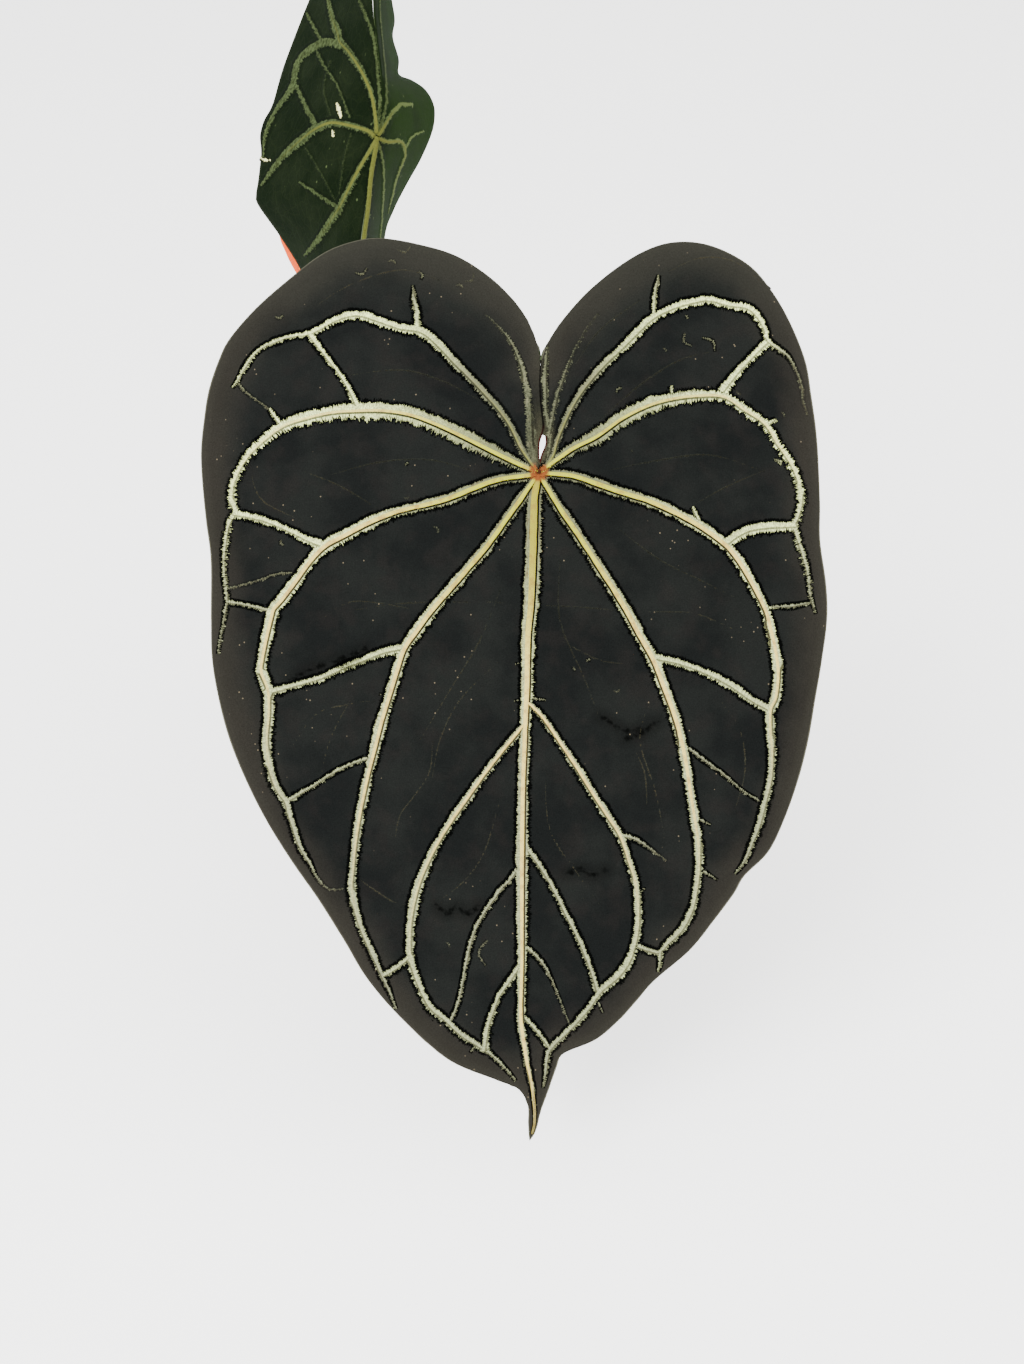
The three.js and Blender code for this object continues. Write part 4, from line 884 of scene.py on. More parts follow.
# %% The front leaf's veins, above and below
front_vein_parts = Parts()
front_rib_parts = Parts()
for seed, line in enumerate(FRONT_VEINS.values()):
    ribbon(front_vein_parts, on_front, line, 2.5, seed, front_numbers, PX)
    if max(line["widths"]) > 6:
        under_rib(front_rib_parts, on_front, line, 6, 3.6, BLADE_THICKNESS, PX)
for seed, points in enumerate(FRONT_THREADS):
    thread = vein(points, [0.8, 2, 1.8, 0.8], shine=(0.02, 0.1, 0.08, 0.02), hairs=0.1)
    ribbon(front_vein_parts, on_front, thread, 6, seed, front_numbers, PX, 0.4)
for seed, ends in enumerate(FRONT_FLECKS):
    (x0, y0), (x1, y1) = ends
    bend = 0.3 * (-1) ** seed
    middle = ((x0 + x1) / 2 - bend * (y1 - y0), (y0 + y1) / 2 + bend * (x1 - x0))
    fleck = vein([ends[0], middle, ends[1]], [0.8, 2.2, 1], shine=(0.25 + 0.1 * (seed % 4),), hairs=0.4)
    ribbon(front_vein_parts, on_front, fleck, 2, seed, front_numbers, PX, 0.6)
front_leaf_veins = make_piece("front_leaf_veins", front_vein_parts, "silver", ["front_veins"], merge=False)
front_leaf_ribs = make_piece("front_leaf_ribs", front_rib_parts, "silver", merge=False)

# %% [markdown]
# ## Velvet and silver
# The face is near-black velvet: tiny domed cells swallow the light, so the panels stay matt, and
# the upper lobes are painted greyish near the margin, a painted sheen where they turn away. The
# margin is thinner and browner. The bands are silver-cream, because air lies under their skin, and
# fray into the velvet in fine hairs that stand across the vein. The main cores are smooth and run
# from orange at the stalk through yellow to tan, with painted shadow in a crease along their lower
# side; painted shade also darkens the sharp folds and the edges of the slit. One finish covers the
# blade and its ribbons, so that a ribbon's border can't be told from the blade. Where a point keeps
# no half width, there is no band.

# %% The front leaf's finish
NETWORK_MM = 6.5


def strip(mix, run_scale, across_scale):
    """Places on a ribbon, stretched along it and across it."""
    run = mix.times(mix.kept("run"), run_scale * MM)
    across = mix.times(mix.kept("across"), across_scale * MM)
    return mix.joined(run, across)


def network(mix, size, width):
    """Lines of the finest veins: where cells of this size meet."""
    bent = mix.noise(size * 1.4, 2)
    vector = mix.joined(*(mix.math("MULTIPLY_ADD", bent, size * 0.5 * MM, axis) for axis in mix.parted()))
    return mix.spread(mix.cells(size, "DISTANCE_TO_EDGE", vector), 0, width, 1, 0)


def velvet_panels(mix):
    """The blade's skin away from the bands, and its relief."""
    edge = mix.kept("edge")
    mottle = mix.noise(24, 4)
    grain = mix.noise(0.42, 2, 0.7)
    colour = mix.tinted(ink(32, 35, 34), ink(44, 47, 44), mottle, 0.36, 0.64)
    colour = mix.tinted(colour, ink(56, 50, 47), mix.noise(8, 3), 0.45, 0.7, 0, 0.3)
    wavy_edge = mix.math("MULTIPLY_ADD", mottle, -9, mix.math("ADD", edge, 4.5))
    colour = mix.layered(
        colour, (ink(72, 68, 59), wavy_edge, 2, 15, 0.75, 0),
        (ink(86, 84, 72), edge, 0.3, 4, 0.4, 0),
        (ink(150, 148, 130), edge, 0.1, 0.45, 0.8, 0))
    # Painted sheen: the upper lobes are greyer near the margin, where they turn away.
    upper = mix.spread(mix.parted()[2], 0.235, 0.31, 0, 0.6)
    colour = mix.mix(mix.times(upper, mix.spread(edge, 3, 26, 1, 0)), colour, ink(76, 78, 68))
    # Painted shadow: dark broken lines along the sharp folds, where shade falls into the fold.
    fold = mix.kept("fold")
    broken_fold_shadow = mix.math("MULTIPLY_ADD", mix.noise(2.2, 3), 3.2, fold)
    colour = mix.tinted(colour, ink(18, 19, 18), fold, 0.6, 4.5, 0.4, 0)
    colour = mix.tinted(colour, ink(7, 8, 7), broken_fold_shadow, 1.6, 2.8, 0.85, 0)
    hub, slit = mix.kept("hub"), mix.kept("slit")
    haze = mix.times(mix.spread(slit, 1, 5, 0.75, 0), mix.spread(hub, 9, 27, 1, 0.1),
                     mix.spread(grain, 0.3, 0.6, 0.5, 1))
    colour = mix.mix(haze, colour, ink(112, 110, 82))
    # Painted shade along the edges of the slit, where the lobes overlap: near-black, reddish near the
    # junction.
    dark_rim = mix.tinted(ink(92, 22, 22), ink(14, 13, 12), hub, 9, 17)
    colour = mix.tinted(colour, dark_rim, slit, 0.15, 0.55, 0.95, 0)
    specks = mix.times(mix.spread(mix.cells(3.6), 0.05, 0.09, 0.7, 0), mix.spread(mottle, 0.5, 0.56))
    colour = mix.mix(specks, colour, ink(170, 160, 138))
    colour = mix.grained(colour, grain, 0.2)
    relief = mix.bump(network(mix, NETWORK_MM, 0.05), -0.04)
    relief = mix.bump(network(mix, NETWORK_MM / 3, 0.09), -0.02, relief)
    return colour, mix.bump(grain, 0.09, relief)


def band_masks(mix):
    """Where the band, its core, the crease beside the core, which takes painted shadow, and the dark
    fringe round the band are, how far a point is inside the band, and the hairs that fray it."""
    across, half, low, core = (mix.kept(name) for name in ("across", "half", "low", "core"))
    away = mix.math("ABSOLUTE", across)
    signed = mix.times(across, low)
    hair = mix.noise(0.34, 2, 0.6, strip(mix, 1, 0.15))
    lumps = mix.noise(1.4, 4, 0.7, strip(mix, 1, 0.4))
    side = mix.spread(signed, -0.3, 0.3, 0.85, 1.5)
    reach = mix.times(mix.math("MULTIPLY_ADD", mix.kept("hairs"), 2.6, 0.7), side)
    fray = mix.times(mix.math("SUBTRACT", mix.math("ADD", hair, lumps), 1.04), reach)
    inside = mix.math("ADD", mix.math("SUBTRACT", half, away), fray)
    there = mix.math("GREATER_THAN", half, 0.02)
    shine = mix.kept("shine")
    patchy = mix.spread(mix.math("MULTIPLY_ADD", shine, 0.6, mix.noise(0.7, 3, 0.7)), 0.5, 0.85, 0.25, 1)
    strength = mix.times(patchy, mix.spread(shine, 0, 0.5, 0.3, 1))
    band = mix.times(mix.spread(inside, -0.06, 0.1), strength, there)
    fringe = mix.times(mix.spread(inside, -1.35, -0.85), mix.spread(shine, 0.25, 0.7), there)
    strong = mix.spread(core, 0.05, 0.5)
    core_half = mix.math("MULTIPLY_ADD", core, 0.52, 0.26)
    heart = mix.times(mix.spread(mix.math("SUBTRACT", away, core_half), -0.12, 0.1, 1, 0), strong)
    crease_way = mix.math("MINIMUM", mix.math("ADD", core_half, 0.24), mix.times(half, 0.55))
    beside = mix.math("ABSOLUTE", mix.math("SUBTRACT", signed, crease_way))
    shaded_crease = mix.times(mix.spread(beside, 0.18, 0.4, 1, 0), mix.spread(inside, 0.05, 0.25),
                       mix.spread(core, 0.1, 0.6, 0.7, 1))
    return {"band": band, "fringe": fringe, "heart": heart, "shaded_crease": shaded_crease, "inside": inside, "hair": hair}


def front_face_finish():
    """Velvet, with the bands over it and the paler underside behind."""
    mix = Finish("velvet_and_silver")
    panel, relief = velvet_panels(mix)
    masks = band_masks(mix)
    shine = mix.kept("shine")
    hub = mix.kept("hub")
    silver = mix.ramp(shine, (0, ink(100, 103, 88)), (0.4, ink(146, 148, 122)), (0.75, ink(204, 206, 182)),
                      (1, ink(231, 233, 213)))
    silver = mix.layered(
        silver, (ink(124, 129, 98), hub, 10, 90, 0.9, 0),
        (ink(178, 181, 164), mix.parted()[2], 0.13, 0.24, 0.7, 0),
        (ink(196, 193, 170), mix.noise(2.4, 4), 0.45, 0.75, 0, 0.45),
        (ink(154, 158, 134), mix.noise(0.55, 3, 0.75), 0.42, 0.6, 0.6, 0),
        (ink(154, 157, 132), masks["inside"], 0, 0.6, 0.55, 0),
        (ink(150, 152, 120), masks["hair"], 0.36, 0.56, 0.35, 0))
    streaks = mix.spread(mix.noise(0.3, 2, 0.6, strip(mix, 0.05, 1)), 0.54, 0.68)
    stained = mix.times(streaks, mix.math("MULTIPLY_ADD", mix.kept("core"), 0.5, 0.12))
    silver = mix.mix(stained, silver, ink(138, 100, 58))
    warm = mix.tinted(ink(209, 209, 96), ink(222, 216, 168), hub, 18, 75)
    warm = mix.tinted(warm, ink(192, 160, 112), mix.noise(2.5, 3), 0.45, 0.7, 0, 0.55)
    warm = mix.tinted(warm, ink(188, 176, 80), mix.kept("core"), 1.1, 1.8, 0, 0.6)
    orange = mix.tinted(ink(104, 56, 34), ink(178, 118, 60), hub, 0.5, 1.3)
    junction = mix.spread(mix.math("MULTIPLY_ADD", mix.noise(1.2, 3), 2.4, hub), 3.6, 5.2, 1, 0)
    junction = mix.times(junction, masks["band"])
    colour = mix.mix(mix.times(masks["fringe"], 0.95), panel, ink(4, 5, 4))
    colour = mix.mix(masks["band"], colour, silver)
    colour = mix.mix(masks["heart"], colour, warm)
    # Painted shadow in the crease on the lower side of the raised core: near-black by the junction,
    # olive-brown farther out.
    shadow = mix.tinted(ink(14, 9, 7), ink(94, 82, 56), hub, 45, 95)
    colour = mix.mix(masks["shaded_crease"], colour, shadow)
    colour = mix.mix(junction, colour, orange)
    below = mix.tinted(ink(88, 104, 72), ink(112, 124, 86), mix.noise(14, 4), 0.35, 0.65)
    below = mix.mix(mix.times(network(mix, NETWORK_MM, 0.08), 0.5), below, ink(142, 152, 112))
    colour = mix.tinted(colour, below, mix.kept("back"), 0.4, 0.7)
    rough = mix.mix(masks["band"], (0.9, 0.9, 0.9, 1), (0.66, 0.66, 0.66, 1))
    rough = mix.mix(masks["heart"], rough, (0.42, 0.42, 0.42, 1))
    hairs = mix.times(masks["hair"], masks["band"])
    relief = mix.bump(hairs, 0.22, relief)
    relief = mix.bump(masks["shaded_crease"], -0.25, relief)
    return mix.done(colour, rough, relief, Specular_IOR_Level=0.04, IOR=1.2, Sheen_Weight=0.01,
                    Sheen_Roughness=0.45, Sheen_Tint=ink(200, 205, 195))


def pale_rib_finish(name, light, dark):
    """The smooth back of a vein: pale green with darker dots and fine lengthwise marks."""
    mix = Finish(name)
    colour = mix.tinted(light, dark, mix.noise(5, 4), 0.35, 0.65)
    colour = mix.tinted(colour, dark, mix.cells(1.1), 0.16, 0.3, 0.4, 0)
    relief = mix.bump(mix.noise(0.8, 3), 0.12)
    return mix.done(colour, 0.5, relief, Specular_IOR_Level=0.4)


front_face = front_face_finish()
front_leaf.data.materials.append(front_face)
front_leaf_veins.data.materials.append(front_face)
front_leaf_ribs.data.materials.append(pale_rib_finish("rib_green", ink(150, 160, 112), ink(112, 128, 76)))
print("front leaf finished")

# %% [markdown]
# ## The two folded leaves
# The second leaf is folded along its midrib with both halves swept back, so the picture shows it
# narrow. The newest, behind it, is small and copper-coloured. Each row of a folded half is as long
# as the flat leaf would be wide there. What the picture doesn't show of that length goes back from
# the eye, so that the leaf looks right from every side.

# %% The folded leaves in picture units
BACK = {
    "midrib": [
        (338, 606), (343, 500), (350, 400), (358, 300), (364, 238), (368, 209), (371, 176), (376.5, 138)],
    "left": {
        "margin": [
            (338, 606), (331, 560), (322, 480), (315, 400), (311, 330), (307, 290), (299, 267), (279, 235),
            (258, 205), (256, 194), (258, 181), (264, 137), (275, 96), (284, 65), (301, 20), (309, 0),
            (320, -28), (335, -50), (350, -56), (363, -47), (369.5, -28)],
        "sinus": [(376.5, 138), (379.5, 110), (380, 85), (377, 55), (373, 20), (369.5, -28)],
        "junction_share": 0.64,
    },
    "right": {
        "margin": [
            (338, 606), (350, 540), (362, 460), (372, 380), (380, 300), (385, 237), (393.5, 211),
            (406.5, 185), (421, 159), (432, 133), (435, 115), (433, 102), (425, 89), (412, 80), (399, 74),
            (399, 59), (393, 37), (395, 20), (392, 0), (388, -24), (380, -38), (373, -28)],
        "sinus": [(376.5, 138), (382, 110), (382.5, 85), (379.5, 55), (375.5, 20), (373, -28)],
        "junction_share": 0.69,
    },
    "half_width": 80, "depths": (574, 560, 574), "fold": 1.35, "wave": (3, 5),
}

BACK_VEINS = {
    "midrib": vein(
        [(376.5, 137), (376, 146), (371, 176), (368, 209), (364, 238), (358, 300), (350, 400), (343, 500),
         (339, 590)], [5, 5, 4.5, 4, 4, 4, 3, 2, 1], core=(0.9, 0.8, 0.6, 0.4), shine=(0.8, 0.5)),
    "lobe": vein(
        [(376.5, 134), (376, 120), (372, 96), (366, 80), (358, 65), (349, 52), (340, 42), (338, 33),
         (332.5, 18.5), (328, -4), (332, -34)],
        [6, 5, 6, 7, 8, 9, 10, 8, 6, 4, 2], core=(0.7, 0.3, 0), shine=(0.7, 0.6, 0.8)),
    "edge": vein(
        [(342, 45), (329, 42), (320, 44), (305, 54), (297, 65), (294, 82), (286, 97), (277, 109), (266, 133),
         (263, 160)], [9, 9, 10, 10, 9, 8, 6, 6, 4, 2], shine=(0.8, 0.9, 0.7)),
    "edge_link": vein([(294, 82), (308, 111), (317, 127)], [5, 5, 7], shine=(0.7,)),
    "upper": vein(
        [(375, 137), (368, 131), (351, 126), (332, 123), (318, 128), (305, 137), (288, 152), (275, 166.5),
         (261, 186)], [6, 7, 8, 10, 10, 10, 8, 6, 3], core=(0.7, 0.3, 0), shine=(0.8, 0.8, 0.9)),
    "lower": vein(
        [(375.5, 140), (373, 146), (360, 168), (349, 189), (340, 207), (329, 224), (318, 240), (304, 256)],
        [6, 6, 7, 8, 8, 8, 7, 3], core=(0.7, 0.3, 0), shine=(0.8, 0.7, 0.8)),
    "lower_twig": vein([(339, 208), (320, 196), (299, 182)], [5, 4, 3], shine=(0.6,)),
    "upper_twig": vein([(316, 50), (324, 66), (337, 85), (350, 118)], [4, 3, 2.5, 3], shine=(0.5,)),
    "top_twig": vein([(306, 13), (322, 42)], [3, 5], shine=(0.6,)),
    "hidden": vein([(363, 262), (342, 300), (328, 350), (323, 400)], [5, 6, 5, 3], shine=(0.7,)),
    "hidden_low": vein([(352, 370), (337, 420), (329, 480)], [4, 4, 2], shine=(0.7,)),
    "sinus_left": vein(
        [(377, 132), (380, 104), (378, 76), (374, 40), (365, 14), (350, -20)],
        [5, 4, 4, 4, 4, 2], shine=(0.6, 0.5)),
    "sinus_right": vein(
        [(379, 134), (386, 104), (386, 80), (383.5, 50), (380, 10), (381, -20)],
        [4, 4, 4, 3, 3, 2], shine=(0.5,)),
    "right_lobe": vein(
        [(378, 136), (382, 129.5), (392, 113), (401, 105), (413, 105)],
        [6, 6, 6, 6, 4], core=(0.5, 0), shine=(0.7,)),
    "right_upper": vein(
        [(378, 138.5), (388, 142), (401, 142), (405, 155), (397, 177.5), (388, 214)],
        [6, 6, 5, 5, 5, 2], core=(0.5, 0), shine=(0.7,)),
    "right_loop": vein([(405, 150), (412, 137), (424, 131)], [4, 4, 3], shine=(0.7,)),
    "right_lower": vein(
        [(377, 142), (381, 153.5), (384, 177.5), (381, 230), (374, 290), (368, 350)],
        [4, 4, 4, 4, 4, 2], shine=(0.6,)),
}
# Fine threads, and small white flecks: their line, widths and shine
BACK_MARKS = [
    ([(330, 60), (324, 90), (333, 122)], [2], 0.3), ([(352, 130), (344, 160), (338, 205)], [2], 0.3),
    ([(300, 140), (318, 168), (335, 200)], [2], 0.3), ([(336, 103), (339, 110), (341, 120)], [2, 5, 2], 2),
    ([(260, 158), (265, 160), (271, 160)], [2, 3, 1], 2), ([(332, 130), (333, 137)], [2], 2),
    ([(315, 123), (318, 126)], [2], 2),
]
for number, (points, widths, shine) in enumerate(BACK_MARKS):
    BACK_VEINS[f"mark_{number}"] = vein(points, widths, shine=(shine,))

YOUNG = {
    "midrib": [(330, 335), (327, 300), (321, 245), (315, 189)],
    "left": {
        "margin": [
            (330, 335), (318, 311), (305, 288), (295.5, 272), (289, 260), (284.5, 250), (280.5, 240),
            (277.5, 224), (279, 203), (287, 184), (298, 172), (308, 169), (313.5, 177)],
        "sinus": [(315, 189), (314.3, 184), (313.5, 177)],
        "junction_share": 0.66,
    },
    "right": {
        "margin": [
            (330, 335), (339, 311), (346, 286), (349, 260), (349, 236), (345, 212), (338, 192), (329, 177),
            (321, 170), (316.5, 177)],
        "sinus": [(315, 189), (315.9, 184), (316.5, 177)],
        "junction_share": 0.7,
    },
    "half_width": 25, "depths": (664, 670, 674), "fold": 1.5, "wave": (1, 4),
}

YOUNG_VEINS = {
    "midrib": vein([(315.2, 191), (321, 245), (326, 292), (329, 325)], [5, 4, 3, 1.5], core=(0.8, 0.3)),
}
YOUNG_SIDES = [
    [(316, 191), (300, 197), (287, 215), (284, 234)], [(317, 198), (305, 222), (298, 248), (300, 272)],
    [(315, 191), (329, 198), (338, 218), (343, 244)], [(318, 200), (331, 226), (337, 258), (337, 290)],
    [(314, 190), (303, 182), (290, 190)], [(316, 190), (325, 183), (335, 196)],
    [(322, 245), (313, 262), (309, 284)], [(323, 258), (332, 275), (334, 298)],
]
YOUNG_WIDTHS = [[4, 3.5, 2.5, 1.5]] * 4 + [[3, 3, 1.5]] * 2 + [[2.5, 2, 1.5]] * 2
for number, (points, widths) in enumerate(zip(YOUNG_SIDES, YOUNG_WIDTHS)):
    YOUNG_VEINS[f"side_{number}"] = vein(points, widths)
print("back leaf veins:", len(BACK_VEINS), "young leaf veins:", len(YOUNG_VEINS))

# %% Depth on a folded leaf


def natural_width(leaf, way):
    """Half width of the flat leaf. way runs from the tip, 0, to the junction, 1, and the mouth of
    the sinus, 2: (1 - (1 - way)^2)^0.75 below the junction and (1 - share^3)^0.6 above it."""
    share = np.clip(np.where(way <= 1, way, way - 1), 0, 1)
    return leaf["half_width"] * np.where(way <= 1, (1 - (1 - share) ** 2) ** 0.75, (1 - share**3) ** 0.6)


def folded_depth(leaf, way, reach, seen_px):
    """Depth = the spine's depth + what the picture doesn't show of the row, sqrt(width^2 -
    seen^2), times reach to a power, + a wave that grows towards the margin."""
    spine = np.interp(way, (0, 1, 2), leaf["depths"])
    width = natural_width(leaf, way)
    hidden = np.sqrt(np.maximum(width**2 - (seen_px * spine / VIEW_FOCAL) ** 2, (0.2 * width) ** 2))
    high, count = leaf["wave"]
    reach = np.maximum(reach, 0)
    wave = high * reach**3 * np.sin(way * math.pi * count) * width / leaf["half_width"]
    return spine + hidden * reach ** leaf["fold"] + wave


def row_ways(below, above):
    """How far up the leaf each row is, from 0 at the tip to 2 at the mouth."""
    return np.concatenate([np.linspace(0, 1, below + 1), 1 + np.linspace(0, 1, above + 1)[1:]])


def folded_halves(leaf, rows, columns, numbers):
    """Both halves' points on the face, with their numbers."""
    ways = row_ways(*rows)[:, None]
    for x, y, reach, seen, bare in half_grids(leaf, rows, columns):
        points = place(x, y, folded_depth(leaf, ways, reach, seen))
        yield points, {**numbers(x, y), "edge": natural_width(leaf, ways) * (1 - reach), **bare}


LOCATE_ROWS = (160, 110)
RIGHT_REACH = 16
AWAY_FROM_EDGE = 20.0


def folded_surface(leaf):
    """A look-up of the folded face under a picture place. Each row is straight in the picture, so
    the row through a place is where the cross product of the row with the way to the place
    changes its sign; how far along that row it lies gives its reach. The first and last row have
    no length and are left out."""
    halves = []
    for half in HALVES:
        inner, outer = blade_lines(leaf, half, *LOCATE_ROWS)
        halves.append((row_ways(*LOCATE_ROWS)[1:-1], inner[1:-1], outer[1:-1]))

    def depth_of(x, y):
        """Depth of the face at picture places."""
        flat_x, flat_y = np.ravel(x), np.ravel(y)
        best = np.full(flat_x.shape, np.inf)
        depth = np.zeros(flat_x.shape)
        for ways, inner, outer in halves:
            span = outer - inner
            to_x, to_y = flat_x[:, None] - inner[:, 0], flat_y[:, None] - inner[:, 1]
            side = span[:, 0] * to_y - span[:, 1] * to_x
            change = side[:, :-1] - side[:, 1:]
            part = np.clip(side[:, :-1] / np.where(change == 0, 1, change), 0, 1)
            share = (to_x * span[:, 0] + to_y * span[:, 1]) / np.maximum(np.sum(span**2, axis=1), 1e-6)
            reach = share[:, :-1] * (1 - part) + share[:, 1:] * part
            off = np.maximum(0, -reach) + np.maximum(0, reach - 1)
            off = np.where(side[:, :-1] * side[:, 1:] <= 0, off, off + 10)
            row = np.argmin(off, axis=1)
            pick = np.arange(len(flat_x)), row
            mixed = part[pick]
            way = ways[row] * (1 - mixed) + ways[row + 1] * mixed
            seen = np.linalg.norm(span[row] * (1 - mixed)[:, None] + span[row + 1] * mixed[:, None], axis=1)
            here = folded_depth(leaf, way, np.clip(reach[pick], 0, 1.06), seen)
            better = off[pick] < best
            depth = np.where(better, here, depth)
            best = np.where(better, off[pick], best)
        return depth.reshape(np.shape(x))

    return lambda x, y: facing(depth_of, x, y, 0.6)


def folded_numbers(leaf, px):
    """What a folded leaf's finish needs to know at a picture place. How far a place lies on the
    right half, where the finish paints light, is read from its distance to the line of the midrib
    and the slit."""
    spine = np.array(leaf["left"]["sinus"][::-1] + leaf["midrib"][::-1])

    def numbers(x, y):
        """The numbers at picture places."""
        past_spine = (x - np.interp(y, spine[:, 1], spine[:, 0])) / RIGHT_REACH
        return {
            "edge": AWAY_FROM_EDGE, "hub": from_hub(leaf, x, y) * px, "right": np.clip(past_spine, 0, 1),
        }

    return numbers


print("second blade's half width, mm:", float(natural_width(BACK, 1)))

# %% The folded leaves' pieces
FOLDED_STEP = 2


def folded_leaf(name, leaf, lines, slots, rows, columns, thickness, widest):
    """Blade, raised veins and under-ribs of one folded leaf."""
    px = leaf["depths"][1] / VIEW_FOCAL
    numbers = folded_numbers(leaf, px)
    surface = folded_surface(leaf)
    blade_parts = Parts()
    blade_shell(blade_parts, list(folded_halves(leaf, rows, columns, numbers)), rows[0], thickness)
    vein_parts = Parts()
    rib_parts = Parts()
    for seed, line in enumerate(lines.values()):
        ribbon(vein_parts, surface, line, FOLDED_STEP, seed, numbers, px, 1.2)
        if max(line["widths"]) > 4:
            under_rib(rib_parts, surface, line, FOLDED_STEP * 2, widest, thickness, px)
    return (
        make_piece(f"{name}_leaf", blade_parts, slots[0], [f"{name}_blade"]),
        make_piece(f"{name}_leaf_veins", vein_parts, slots[1], [f"{name}_veins"], merge=False),
        make_piece(f"{name}_leaf_ribs", rib_parts, slots[1], merge=False),
    )


back_leaf_pieces = folded_leaf(
    "back", BACK, BACK_VEINS, ("green", "pale"), rows=(130, 90), columns=44, thickness=0.7, widest=2.6)
young_leaf_pieces = folded_leaf(
    "young", YOUNG, YOUNG_VEINS, ("copper", "amber"), rows=(64, 36), columns=24, thickness=0.6, widest=1.6)

# %% [markdown]
# ## Green and copper leaf finishes
# The younger leaf has the same velvet, still dark green, and its bands are olive with ragged,
# lighter borders and a yellow-green core. Its right half turns to the light, so it is painted
# brighter green, with lighter bands and a fainter dark fringe. The newest leaf hasn't turned green
# yet: it is thin, copper-orange and a little glossy.

# %% The folded leaves' finishes


def folded_face_finish(name, panels, bands, core_ink, fringe_ink, lit_half_ink, under, rough, gloss):
    """Panels with a network, frayed bands, a core, a paler underside, and painted light on the right."""
    mix = Finish(name)
    mottle = mix.noise(16, 4)
    grain = mix.noise(0.5, 2, 0.7)
    colour = mix.mix(mix.spread(mottle, 0.36, 0.64), *panels)
    # Painted light: the right half, which turns to the light, is painted brighter.
    lit = mix.times(mix.kept("right"), mix.spread(mix.noise(22, 3), 0.3, 0.6, 0.5, 1))
    colour = mix.mix(lit, colour, lit_half_ink)
    colour = mix.tinted(colour, bands[0], mix.kept("edge"), 0.1, 1.2, 0.5, 0)
    lines = network(mix, 5, 0.07)
    fine_lines = network(mix, 1.8, 0.1)
    colour = mix.mix(mix.times(lines, 0.1), colour, bands[0])
    colour = mix.mix(mix.times(fine_lines, 0.05), colour, bands[0])
    flecks = mix.times(mix.spread(mix.cells(7), 0.05, 0.1, 0.8, 0), mix.spread(mottle, 0.52, 0.56))
    colour = mix.mix(flecks, colour, bands[1])
    masks = band_masks(mix)
    band = mix.mix(mix.spread(mix.noise(1.6, 4), 0.35, 0.65), *bands)
    band = mix.tinted(band, bands[1], masks["inside"], 0, 0.5, 0.55, 0)
    # Bands are painted lighter on the right half, as lit.
    band = mix.mix(mix.times(mix.kept("right"), 0.7), band, ink(150, 164, 104))
    band = mix.tinted(band, core_ink, mix.kept("hub"), 1, 8, 0.45, 0)
    faded = mix.times(masks["band"], mix.spread(mix.kept("shine"), 0, 0.8, 0.25, 0.85))
    # The dark fringe is painted fainter on the lit right half.
    dark_rim = mix.times(masks["fringe"], mix.spread(mix.kept("right"), 0.2, 0.7, 0.4, 0.05))
    colour = mix.mix(dark_rim, colour, fringe_ink)
    colour = mix.mix(faded, colour, band)
    colour = mix.mix(masks["heart"], colour, core_ink)
    # White flecks where a mark's shine goes past 1.2.
    white_flecks = mix.times(masks["band"], mix.spread(mix.kept("shine"), 1.2, 1.6))
    colour = mix.mix(white_flecks, colour, ink(226, 226, 206))
    colour = mix.grained(colour, grain, 0.25)
    below = mix.mix(mix.spread(mottle, 0.35, 0.65), *under)
    below = mix.mix(mix.times(lines, 0.5), below, bands[1])
    colour = mix.tinted(colour, below, mix.kept("back"), 0.4, 0.7)
    relief = mix.bump(lines, -0.05)
    relief = mix.bump(grain, 0.07, relief)
    relief = mix.bump(mix.times(masks["hair"], masks["band"]), 0.15, relief)
    return mix.done(colour, rough, relief, Specular_IOR_Level=gloss, IOR=1.25)


back_face = folded_face_finish(
    "green_velvet", (ink(20, 36, 16), ink(32, 47, 24)), (ink(76, 90, 47), ink(128, 144, 96)),
    ink(144, 148, 74), ink(12, 20, 10), ink(38, 70, 17), (ink(96, 118, 70), ink(118, 136, 84)), 0.8,
    0.03)
young_face = folded_face_finish(
    "young_copper", (ink(208, 114, 10), ink(222, 134, 20)), (ink(228, 166, 60), ink(234, 190, 90)),
    ink(234, 200, 70), ink(170, 80, 16), ink(210, 122, 20), (ink(200, 130, 40), ink(216, 150, 56)), 0.5, 0.2)
for (blade, veins, ribs), face, ribs_ink in (
    (back_leaf_pieces, back_face, (ink(140, 156, 98), ink(104, 124, 66))),
    (young_leaf_pieces, young_face, (ink(232, 168, 110), ink(206, 126, 74))),
):
    blade.data.materials.append(face)
    veins.data.materials.append(face)
    ribs.data.materials.append(pale_rib_finish(f"{ribs.name}_green", *ribs_ink))
print("folded leaves finished")

# %% [markdown]
# ## Stalks
# Each leaf hangs from a long round stalk that ends in a swollen knee, with which the plant turns
# its leaf to the light. A plain pipe would miss the knee and the flutes. Here a ring of points is
# carried along a curve and turned as little as possible from one step to the next, so that flutes
# run straight, and its radius changes along the way.

# %% Limbs along a path
SINES = 10


def waviness(x, y, z, size, seed):
    """Smooth random height, mostly from -1 to 1: sine waves in random directions, each about this
    many millimetres long, added up and divided by the root of their number."""
    random = np.random.default_rng(seed)
    ways = unit(random.normal(size=(SINES, 3))) * (2 * math.pi / size) * random.uniform(0.6, 1.6, (SINES, 1))
    phases = random.uniform(0, 2 * math.pi, SINES)
    total = sum(np.sin(x * way[0] + y * way[1] + z * way[2] + phase) for way, phase in zip(ways, phases))
    return total / math.sqrt(SINES)


